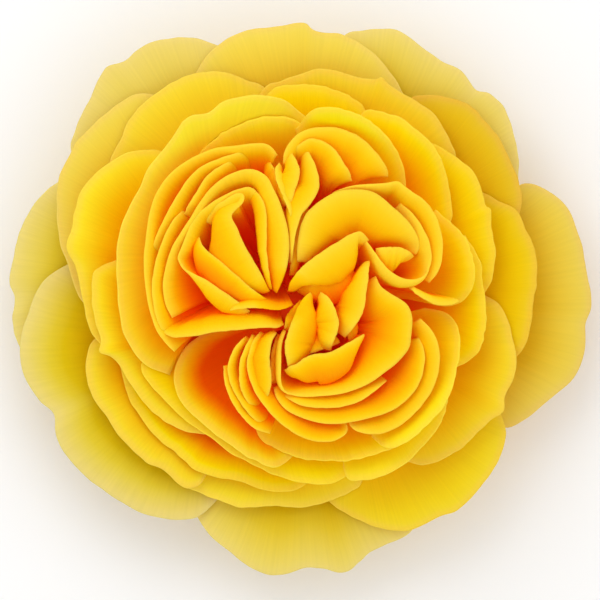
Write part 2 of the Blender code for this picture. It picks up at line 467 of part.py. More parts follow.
def union(name, objects, collection):
    """One body out of several, joined by a single Boolean. The folds cross at grazing angles in the heel,
    where the EXACT solver leaves open edges."""
    pieces = bpy.data.collections.new(name + "_pieces")
    bpy.context.scene.collection.children.link(pieces)
    for obj in objects[1:]:
        pieces.objects.link(obj)
        collection.objects.unlink(obj)
    base = objects[0]
    joined = base.modifiers.new("join", "BOOLEAN")
    joined.operation = "UNION"
    joined.operand_type = "COLLECTION"
    joined.collection = pieces
    joined.solver = "MANIFOLD"
    graph = bpy.context.evaluated_depsgraph_get()
    mesh = bpy.data.meshes.new_from_object(base.evaluated_get(graph))
    whole = bpy.data.objects.new(name, mesh)
    mesh.name = name
    collection.objects.link(whole)
    for obj in objects:
        bpy.data.objects.remove(obj)
    bpy.data.collections.remove(pieces)
    return whole


def sepal_rows():
    """Rows of points from base to tip of a turned-back sepal that reaches out along +X."""
    rows = []
    for j in range(SEPAL_GRID[1] + 1):
        v = j / SEPAL_GRID[1]
        spine = section(SEPAL_SPINE, v)
        half = SEPAL_HALF_WIDTH * (0.5 + 1.9 * v) * (1 - v) ** 0.8 + 0.35
        row = []
        for i in range(SEPAL_GRID[0] + 1):
            u = 2 * i / SEPAL_GRID[0] - 1
            row.append(Vector((spine[0], half * u, spine[1] - SEPAL_CUP * (1 - v) * u * u)))
        rows.append(row)
    return rows


def shade(obj, material):
    """Smooth shading and one material."""
    obj.data.materials.clear()
    obj.data.materials.append(material)
    for face in obj.data.polygons:
        face.use_smooth = True


def material(name, colour, roughness):
    """A plain Principled material."""
    made = bpy.data.materials.new(name)
    made.use_nodes = True
    shader = made.node_tree.nodes["Principled BSDF"]
    shader.inputs["Base Color"].default_value = (*colour, 1.0)
    shader.inputs["Roughness"].default_value = roughness
    return made


def main():
    for obj in list(bpy.data.objects):
        bpy.data.objects.remove(obj)
    bloom = bpy.data.collections.new("rose_bloom")
    bpy.context.scene.collection.children.link(bloom)

    for name, level, rim in WHORLS:
        across = WHORL_ACROSS if level > 0.6 else CUP_ACROSS
        petal = sheet_object("petal_" + name, whorl_surface(level, rim, across, WHORL_UP), PETAL_THICK, bloom)
        pale = min(1.0, max(0.0, (level - 0.6) / 0.4))
        colour = [a + (b - a) * pale for a, b in zip(CUP_COLOUR, GUARD_COLOUR)]
        shade(petal, material("petal_" + name, colour, 0.55))

    for name, centre, folds in QUARTERS:
        pieces = [heel(name + "_heel", centre, bloom)]
        for k, (fall, lips, rim) in enumerate(folds):
            rows = fold_surface(centre, fall, lips, rim, FOLD_DEPTHS)
            pieces.append(sheet_object("%s_fold_%d" % (name, k), rows, FOLD_THICK, bloom))
        quarter = union("quarter_" + name, pieces, bloom)
        shade(quarter, material("quarter_" + name, HEART_COLOUR, 0.55))

    green = material("hip_green", HIP_COLOUR, 0.5)
    shade(turned("hip", HIP_PROFILE, 20, bloom), green)
    shade(turned("stem_stub", STUB_PROFILE, 16, bloom), material("stem_green", STEM_COLOUR, 0.5))
    for k in range(SEPAL_COUNT):
        spin = Matrix.Rotation(math.radians(SEPAL_FIRST + 360 * k / SEPAL_COUNT), 3, "Z")
        rows = [[spin @ p for p in row] for row in sepal_rows()]
        sepal = sheet_object("sepal_%d" % (k + 1), rows, SEPAL_THICK, bloom)
        shade(sepal, material("sepal_green_%d" % (k + 1), SEPAL_COLOUR, 0.55))


main()
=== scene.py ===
import math

import bpy
import numpy as np
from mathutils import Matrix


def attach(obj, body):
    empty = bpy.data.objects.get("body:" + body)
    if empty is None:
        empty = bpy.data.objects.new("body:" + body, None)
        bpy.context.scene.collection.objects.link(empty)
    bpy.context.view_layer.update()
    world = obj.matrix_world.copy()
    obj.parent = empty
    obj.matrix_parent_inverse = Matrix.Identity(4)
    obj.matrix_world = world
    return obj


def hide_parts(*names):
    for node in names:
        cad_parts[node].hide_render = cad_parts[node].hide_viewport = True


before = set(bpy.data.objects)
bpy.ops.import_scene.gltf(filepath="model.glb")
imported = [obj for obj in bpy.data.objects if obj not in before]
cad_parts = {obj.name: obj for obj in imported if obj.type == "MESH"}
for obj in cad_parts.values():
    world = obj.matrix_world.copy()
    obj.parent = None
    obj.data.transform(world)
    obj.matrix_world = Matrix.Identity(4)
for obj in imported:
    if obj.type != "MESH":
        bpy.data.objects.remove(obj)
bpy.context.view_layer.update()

# The petals follow the rule of the part's source, with the same named sizes, in millimetres, carried to finer
# sheets: thin rims, turned lips, ruffles and veins.
MM = 0.001
SPAN_STEPS = 24  # straight pieces between two points of a rim, before its points are spaced evenly
WAVE_LEAST = 0.4  # the lowest a wave is drawn, where the highest is 1
WAVE_FADE = 0.7  # the power of its number by which a shorter wave is lower
WAVE_SUM = 2.2  # brings the sum of the waves to about -1 to 1

# Nested petals.
CLAW_WIDTH = 0.3  # share of a petal's width at its claw
CLAW_POWER = 0.75  # the rest of the width comes with this power of the way up
CURL = 0.9  # how far the rim of the lowest petals turns down
CURL_MORE = 2.0  # how much further it would at the heart's axis
CURL_START = 0.76  # share of the way up at which the turn begins
WHORL_ACROSS = 96
WHORL_UP = 36
ROW_CROWDING = 1.35  # above 1, rows lie closer together near the rim
RIM_WANDER = 0.3  # how far a rim wanders from its points
RIM_WAVES = 18
# Two ruffles: what each adds to the petal's number for its seed, its waves, its height, and the power of the
# way up by which it grows.
WHORL_RUFFLES = ((0, 6, 0.55, 3), (500, 14, 0.18, 6))

# The heart's folded petals. Their rims lie on a dome, and their walls close in towards the foot as the nested
# surface of a level does.
HEART_TOP = 46.0
HEART_DOME = 0.004  # fall of the dome for the square of the distance from the axis
HEART_LEVEL = 0.24
FOLD_FOOT = 16.6  # height at which the walls end
LIP_DROP = 0.8  # how far any lip turns down, before what its width adds
END_DROP = 2.5  # how much lower the ends of a rim lie
END_POWER = 6  # the higher, the closer to its ends a rim begins to fall
WALL_POWER = 1.2  # above 1, a wall's rows lie closer together near its lip
FOLD_ACROSS = 84
LIP_ROWS = 14
WALL_ROWS = 22
TURN_PASSES = 30  # how often the directions of a lip are evened out along the rim
WIDTH_PASSES = 5  # and its widths
RUFFLE = 0.4
RUFFLE_WAVES = 5
FOLD_WANDER = 0.12
FOLD_RIM_WAVES = 16

# The heel in which the petals of a quarter are joined.
HEEL_RINGS = (14.6, 16.0, 18.0, 21.0, 24.0)
HEEL_CAP = ((24.6, 0.5), (24.8, 0.02))  # the last rings: height, and the share of the radius left there
HEEL_GROWTH = 9.0
HEEL_LEAST = 0.75
HEEL_SIDES = 40

# Sheets. They are thin at the rim and the sides, and full past these shares of the way in.
SHEET_THICK = 0.42
RIM_THICK = 0.16
RIM_BLEND = 0.08
SIDE_BLEND = 0.03
BAKE_MARGIN = 0.03  # empty border of a cell of the OFBake map, as a share of the cell

# Numbers of petals, from which their seeds and the places of their veins follow.
RIM_SEED = 900  # added for the waves of a rim
QUARTER_SEEDS = 100  # from one quarter's first petal to the next's
INNER_SEED = 50  # added for a quarter's short petals
HEART_VEINS = 40  # the first quarter's number for its veins

TONE_REACH = 25.0  # distance from the rim at which a petal has its foot's colour, the deepest painted shade
EYE = (-3.4, 0.8)  # where the folds of the heart meet
# how far from the eye that painted shade reaches
EYE_REACH = 6.0
EYE_SHADE = 8.0  # painted shade at the eye: a petal there is coloured as though it were this much further from its rim
LIT_RIM_STRIP = 1.6  # width of the pale strip along the rim of a nested petal, a painted highlight: across it the distance counts once, whatever the petal's shade rate
WALL_SHADE_RATE = 2.2  # below its lip a fold's colour deepens this much faster: painted shade down the walls into the gaps

SEPAL_COUNT = 5
SEPAL_FIRST = 12.0  # direction of the first sepal, in degrees
SEPAL_THICK = 0.6
SEPAL_RIM = 0.3
SEPAL_ALONG = 24
SEPAL_ACROSS = 12
SEPAL_HALF_WIDTH = 3.0
SEPAL_BASE = 0.5  # share of that half width at the base, and how it swells and tapers to the tip
SEPAL_SWELL = 1.9
SEPAL_TAPER = 0.8
SEPAL_TIP = 0.35
SEPAL_CUP = 0.5
SEPAL_SPINE = ((7.8, 7.4), (12.5, 8.6), (18.0, 7.0), (22.5, 3.4), (26.0, 0.45))
HIP_PROFILE = ((0.0, 14.4), (1.8, 14.2), (3.8, 13.4), (5.4, 12.3), (6.3, 11.2), (6.8, 9.6), (7.0, 8.2),
               (6.5, 6.2), (5.0, 4.4), (3.2, 3.5), (0.0, 3.5))
HIP_SIDES = 64
CROWN_HEIGHT = 11.6  # above this the hip has the colour of the petals' feet, painted shade
CROWN_BLEND = 0.5  # height below that over which the colour changes
STUB_PROFILE = ((0.0, 3.2), (3.0, 3.2), (2.8, 1.6), (3.1, 0.0), (0.0, 0.0))
STUB_SIDES = 48
MERGE_WITHIN = 0.01  # points of a turned body that lie closer than this are one
VEIN_SHIFT = (0.37, 0.21)
VEIN_SCALE = (110.0, 2.5, 1.0)
MOTTLE_DARK = (0.7, 0.75, 0.7)  # the shares of a green in its darkest and its lightest patches
MOTTLE_LIGHT = (1.35, 1.25, 1.2)

VIEW_WIDTH = 120.0  # millimetres across the picture
VIEW_HEIGHT = 600.0
FLOOR_HALF = 3000.0
LAMP_AIM = (0, 0, 20.0)  # the point both lamps face

# Colours by distance from the rim, a painted highlight at the rim and painted shade deepening to orange and
# red away from it: the nested petals', those of the pale guard petals, and the heart's.
WHORL_TONES = ((0.0, (0.99, 0.735, 0.045)), (0.9, (0.99, 0.79, 0.035)), (1.6, (0.99, 0.82, 0.014)),
               (2.4, (1.0, 0.815, 0.003)), (3.4, (1.0, 0.785, 0.001)), (5.0, (1.0, 0.735, 0.0005)),
               (7.5, (1.0, 0.66, 0.0005)), (11.0, (1.0, 0.56, 0.0005)), (16.0, (1.0, 0.37, 0.0005)),
               (25.0, (0.92, 0.14, 0.0005)))
GUARD_TONES = ((0.0, (0.86, 0.74, 0.21)), (0.9, (0.86, 0.735, 0.19)), (1.6, (0.855, 0.73, 0.17)),
               (2.4, (0.85, 0.72, 0.145)), (3.4, (0.84, 0.71, 0.12)), (5.0, (0.83, 0.695, 0.085)),
               (7.5, (0.81, 0.66, 0.035)), (11.0, (0.78, 0.60, 0.005)), (16.0, (0.78, 0.55, 0.001)),
               (25.0, (0.77, 0.49, 0.001)))
HEART_TONES = ((0.0, (0.99, 0.67, 0.04)), (1.2, (0.99, 0.625, 0.012)), (2.5, (0.99, 0.57, 0.002)),
               (4.5, (0.99, 0.48, 0.0005)), (7.0, (1.0, 0.385, 0.0005)), (10.0, (1.0, 0.30, 0.0005)),
               (14.0, (1.0, 0.24, 0.0005)), (25.0, (1.0, 0.17, 0.0005)))
# Painted shade: the hip's crown, seen deep in the heart's gaps, has the dark red of the shade at the petals'
# feet.
HIP_CROWN_SHADE = (0.85, 0.08, 0.001)
# How fast each fold's colour deepens away from its rim as painted shade, in the order of QUARTERS.
SHADE_RATE = {"left": (1.2, 1.5, 1.5, 1.6, 0.8, 2.2, 1.2, 3.0, 1.1, 1.5, 1.8),
          "top": (1.0, 1.6, 1.0, 1.0, 1.0),
          "right": (0.9, 0.55, 0.55, 0.7, 0.9, 0.6),
          "lower": (1.1, 1.7, 2.1, 1.1, 2.8, 2.6, 2.6, 2.6, 1.9, 1.2, 1.1, 0.9, 1.8)}
# How much of the guard petals' paler yellow a nested petal has, how fast its colour deepens away from its rim
# as painted shade (one number, or several evenly spaced along the rim), and how light it is painted: below 1
# is painted shade for a petal in less light.
LOOKS = {"guard_left": (1.0, 0.9, 0.955), "guard_lower_left": (1.0, 1.3, 0.955),
         "guard_bottom": (0.85, 0.8, 0.96), "guard_right": (0.5, 0.7, 0.9),
         "guard_upper_right": (0.85, 0.7, 0.94), "guard_upper_left": (0.9, 0.4, 0.94),
         "guard_top": (0.5, 0.45, 0.935), "guard_lower_right": (0.08, 0.4, 0.945),
         "outer_far_left": (0.45, 0.5, 0.93), "outer_left": (0.12, 1.2, 0.97),
         "outer_upper_left": (0.2, 0.45, 0.95), "outer_top": (0.12, 0.6, 0.91),
         "outer_upper_right": (0.05, 0.45, 0.82), "outer_right": (0.0, 0.5, 0.87),
         "outer_lower_right": (0.12, 1.0, 0.93), "outer_lower_left": (0.15, 2.0, 0.94),
         "outer_bottom": (0.15, 1.0, 0.98), "middle_bottom": (0.0, (2.5, 4.5, 3.5, 2.5), 0.96),
         "middle_lower_left": (0.1, 1.7, 0.97), "middle_top": (0.0, 0.7, 0.96),
         "middle_right": (0.0, 0.6, 0.95), "middle_long": (0.0, 0.7, 1.0),
         "middle_low_right": (0.0, 1.3, 0.98),
         "cup_upper_left": (0.12, (0.2, 0.2, 0.15, 0.15, 0.6, 2.8), 1.0), "cup_inner_top": (0.0, 0.15, 1.0),
         "cup_top": (0.0, 0.6, 1.0), "cup_upper_right": (0.0, 1.2, 0.98), "cup_right": (0.0, 0.9, 1.0),
         "cup_low_right": (0.05, 0.6, 1.0), "cup_lower_right": (0.0, 0.5, 1.0), "cup_bottom": (0.0, 0.6, 1.0),
         "cup_lower_left": (0.1, (2.5, 4.5, 4.5, 4.0), 1.0)}
# Short petals deep in the gaps of a quarter: how far each rim lies below the others, then a fold as in
# QUARTERS.
INNER_FOLDS = {
    "right": ((4.0, (0.4, (-1, -4, -6, -6, -3),
                     ((-0.8, 2.4), (2, 3.2), (5, 4.2), (8, 5.2), (10.4, 6.4)))),),
    "top": ((3.0, (0.5, (1, 1.8, 2, 1.8, 1),
                   ((0.6, 19), (-0.4, 16), (-1, 12.4), (-1.6, 8.8), (-2.2, 5)))),),
    "lower": ((5.0, (0.5, (1, 3, 3.4, 3, 1),
                     ((7.6, 0), (8.4, -3), (9.2, -6), (10, -9)))),
              (3.2, (0.4, (1, 4, 4.6, 3.6, 1),
                     ((-1, -11.8), (2, -10.8), (5, -9.8), (8, -8.6)))),
              (3.5, (0.4, (0.8, 1.4, 1.8, 1.6, 0.8),
                     ((-4.6, -6.8), (-5.6, -10), (-6, -13.6), (-5.8, -17.2)))),
              (2.5, (0.4, (-1, -3, -3.4, -2, -1),
                     ((-3.2, -6), (-2.8, -3.6), (-1.6, -1.6), (0, 0))))),
    "left": ((3.5, (0.4, (-1, -2.4, -2.8, -2, -1),
                    ((-6.4, 28.4), (-4.8, 25.6), (-3.8, 22), (-2.8, 18.4)))),),
}
# How fast the short inner petals' colour deepens away from their rims: painted shade deep in the gaps.
INNER_SHADE_RATE = 3.0
HIP_COLOUR = (0.13, 0.24, 0.05)
STEM_COLOUR = (0.17, 0.29, 0.07)
SEPAL_COLOUR = (0.12, 0.24, 0.05)

# Sections through the nested petals, from the heart's axis (level 0) to the lowest petals (level 1):
# each row is a level and the radius and height of its surface at five steps from claw to beyond the rim.
LEVELS = (
    (0.00, ((0.0, 15.0), (0.0, 22.0), (0.0, 31.0), (0.0, 41.0), (0.0, 51.0))),
    (0.25, ((4.9, 13.7), (14.0, 20.0), (23.0, 29.0), (30.5, 38.5), (36.0, 48.0))),
    (0.50, ((6.6, 12.4), (17.5, 18.0), (29.0, 26.0), (38.5, 34.5), (46.0, 42.0))),
    (0.75, ((7.5, 10.9), (20.0, 15.0), (34.5, 20.5), (47.5, 26.0), (59.0, 29.0))),
    (1.00, ((7.6, 9.3), (21.0, 11.5), (37.0, 14.5), (52.0, 16.0), (66.0, 12.0))),
)

# Whorl petals: name, level, and the rim's points seen from above, with +Y up and the axis at 0, 0.
WHORLS = (
    ("guard_left", 1.00, ((-43, 26), (-48.2, 23.8), (-53.2, 19), (-56.4, 12.8), (-57.4, 7.6), (-58, 3.4),
        (-57, 0.6), (-57.6, -4), (-56, -9.6), (-50, -16))),
    ("guard_lower_left", 0.93, ((-45, 8), (-51, 4), (-54, -1.6), (-55.8, -9), (-55, -15.2), (-52, -20),
        (-49.2, -22.8), (-48.8, -27.4), (-44.8, -33.4), (-38, -39), (-30, -43.2), (-21.2, -43.8),
        (-15.6, -39))),
    ("guard_bottom", 1.00, ((-23, -39), (-19.4, -45.4), (-14.4, -50), (-9, -53.8), (-4, -55), (2, -53.4),
        (8.6, -54.6), (12, -52.4), (14, -50.4), (19, -48.2), (22.4, -46), (25, -40))),
    ("guard_right", 1.00, ((41, 19), (44.4, 23.2), (49, 22.2), (53, 19), (55.6, 13.6), (57, 7),
        (58.4, -0.4), (57, -5), (56.8, -10), (54.4, -15.8), (49, -20.6), (45, -24), (41, -25.6),
        (37, -22))),
    ("guard_upper_right", 0.93, ((5, 48), (9, 53), (12.4, 54), (16, 54.4), (20, 53.8), (24, 51),
        (28, 47.8), (32.2, 45.8), (35, 42), (38, 41.2), (41, 38), (43, 32), (43.8, 25), (42, 18))),
    ("guard_upper_left", 0.88, ((-12, 46), (-16.2, 50.8), (-24, 52.6), (-31, 50.8), (-35, 47.8),
        (-39, 46), (-42, 40), (-44.4, 35.6), (-46, 30.4), (-44, 25))),
    ("guard_top", 0.84, ((-22, 43), (-19, 48.4), (-16, 51), (-11.4, 53.6), (-6, 54.4), (0.4, 55.6),
        (3, 54), (9, 53), (14, 50), (17.6, 46.2), (20.4, 42), (22, 37))),
    ("guard_lower_right", 0.90, ((39, -20), (41, -25.4), (40.8, -29), (39.4, -32.6), (36.6, -36.6),
        (32, -41.6), (28, -43.4), (22, -46), (16, -45.8), (10, -43.2), (5.8, -40.2), (3, -36))),
    ("outer_upper_right", 0.81, ((19, 36), (22.6, 40.6), (28, 40.8), (33.6, 39.2), (36.8, 36.2),
        (39.8, 32), (42.8, 26), (44.4, 20), (43, 14))),
    ("outer_right", 0.76, ((34.4, 22.4), (37.6, 21), (40.6, 19.4), (43.2, 18), (45.2, 14.4), (47, 10),
        (47.6, 5), (46.8, -0.4), (45.6, -7), (44, -10.4), (40, -14))),
    ("outer_lower_right", 0.70, ((37, 1), (40, -1), (42.2, -6), (43.2, -11), (43, -15), (41, -19),
        (40.6, -22), (38, -24), (35.6, -26.4), (32.4, -29.6), (29, -31.6), (25, -33), (20, -32))),
    ("outer_lower_left", 0.77, ((-37, -4), (-41.6, -8.4), (-42.8, -13), (-41.6, -19), (-38, -24.6),
        (-35.6, -28), (-31.2, -32.2), (-27.4, -34), (-24.6, -36.4), (-22.4, -37.6), (-20, -36.8),
        (-18.6, -34.6))),
    ("outer_bottom", 0.84, ((-28, -33), (-23.6, -36.8), (-19.4, -38.8), (-14.4, -40.8), (-11, -41.6),
        (-5, -41.4), (0.6, -41.6), (4, -40.8), (7, -39.6), (11.6, -37.4), (13, -34))),
    ("outer_far_left", 0.81, ((-26, 40), (-32, 41.2), (-38.4, 37.6), (-44, 32.4), (-46.8, 27.8),
        (-48.4, 23.8), (-48.8, 19), (-48, 11.4), (-46.6, 7.6), (-44.2, 0.6), (-40, -3))),
    ("outer_left", 0.66, ((-25.6, 28.6), (-29, 30), (-34, 29.6), (-38, 27.4), (-41, 25), (-43.6, 22),
        (-45, 18.4), (-45.8, 14), (-46.8, 10.4), (-45, 6.6), (-44, 2), (-42.6, -4), (-40.2, -8.4),
        (-36, -11))),
    ("outer_upper_left", 0.76, ((-35, 23), (-38, 27.6), (-36.4, 31.2), (-34.6, 35.2), (-32, 38.6),
        (-28, 42), (-23, 44.8), (-18.6, 45.8), (-14.4, 45.4), (-10.6, 44), (-7.6, 42.8), (-4, 39))),
    ("outer_top", 0.68, ((-9, 40), (-6.4, 43), (-4, 43.6), (-1, 45), (3, 46.2), (7, 46), (10, 45),
        (15, 44.2), (16.4, 44.6), (18, 42.8), (21.6, 40.6), (26.4, 37.4), (29, 33.8), (31, 29.8),
        (31, 25))),
    ("middle_lower_left", 0.58, ((-37, 8), (-41.2, 5.6), (-41.8, 0), (-40.8, -4.4), (-39.8, -8),
        (-40, -10.4), (-37.6, -11.4), (-35.2, -14.6), (-32, -19.4), (-28.4, -23.2), (-23, -26.2),
        (-18, -27))),
    ("middle_bottom", 0.69, ((-36, -13), (-34.8, -18), (-32.6, -22.4), (-29, -27), (-25, -30.4),
        (-20.4, -34.2), (-16, -35.8), (-12, -36.4), (-8, -37.8), (-4, -38.4), (0, -37.6), (4, -34))),
    ("middle_long", 0.50, ((-30, -9), (-31.8, -13.2), (-30, -17), (-27, -20.2), (-24, -23), (-20, -26),
        (-17, -28), (-14, -30.4), (-11, -31.8), (-7.6, -33.8), (-3, -35.8), (0, -36.6), (4, -37),
        (7.4, -36.4), (12, -33))),
    ("middle_right", 0.60, ((22, 31), (26, 31.2), (29, 30), (32.6, 27.6), (35, 25.4), (36.4, 22),
        (37.2, 19), (38.3, 18), (38.4, 14), (39, 9.6), (38.6, 6), (37.6, 2.4), (34, -1))),
    ("middle_low_right", 0.51, ((33, 13), (36, 7.6), (36.8, 3), (37.2, -2), (37.2, -5), (36.6, -8),
        (35.4, -10.6), (33.4, -12.4), (30, -14))),
    ("middle_top", 0.60, ((-8, 39), (-5, 42.4), (0, 43), (4.4, 42.8), (7.6, 42), (10.4, 40.6), (13.2, 38),
        (15, 34))),
    ("cup_upper_left", 0.42, ((5, 33), (2.4, 35.6), (0, 37.6), (-3, 39.8), (-7.6, 40.8), (-12, 40.6),
        (-15.6, 39.6), (-18.4, 37.4), (-22.8, 36.2), (-26, 31.4), (-30, 26.4), (-32, 22.4), (-34.4, 18),
        (-36.2, 13.4), (-36.8, 7.6), (-36.6, 2), (-36, -4), (-34.8, -8.2), (-31, -13), (-26, -15))),
    ("cup_inner_top", 0.37, ((-23, 25), (-20, 29.6), (-17, 32.4), (-13.4, 34.6), (-9, 36.2), (-4.4, 36.6),
        (-0.4, 35.6), (3, 33))),
    ("cup_upper_right", 0.48, ((11, 34), (13, 38), (17, 37.6), (21, 36), (25, 32.6), (27.6, 29),
        (29.2, 25), (30.2, 20), (30.2, 16), (28, 12))),
    ("cup_top", 0.34, ((-1, 34), (2.4, 38), (6, 38.6), (9.4, 38), (13.6, 36), (16.8, 33.2), (19.4, 29.6),
        (20.8, 26), (21.2, 22.4), (20, 19))),
    ("cup_right", 0.38, ((27, 18), (30, 15.4), (32.2, 13.6), (33.6, 11), (34.8, 7.6), (35, 4.4),
        (34.2, 1.6), (32.4, -0.4), (29.4, -1.2), (26, -0.6))),
    ("cup_low_right", 0.46, ((29, -15), (29.4, -20.4), (28.2, -24.4), (25.4, -28.6), (21.4, -32.4),
        (17, -35), (13, -36), (9.8, -35.8), (8.6, -33.4))),
    ("cup_lower_right", 0.28, ((25, -1.6), (28.6, -2.4), (31, -4.2), (32.2, -8), (31.8, -12),
        (30.6, -16.8), (29.2, -20.2), (26.4, -24), (22.6, -27.4), (19.6, -29.3), (16.8, -29.4),
        (14.4, -27.4))),
    ("cup_bottom", 0.32, ((22, -26), (19.4, -29), (16, -30.4), (12.4, -31.6), (8.4, -32.2), (3.6, -32),
        (0, -31.6), (-4, -30.2), (-7.6, -28.2), (-10, -24))),
    ("cup_lower_left", 0.37, ((-17, -5), (-20, -7.2), (-22.8, -9.2), (-24.6, -12.4), (-25.2, -15.6),
        (-24.4, -19.4), (-22, -22.6), (-18, -26), (-13.6, -29.2), (-9, -32), (-4.4, -33.2), (0, -30))),
)

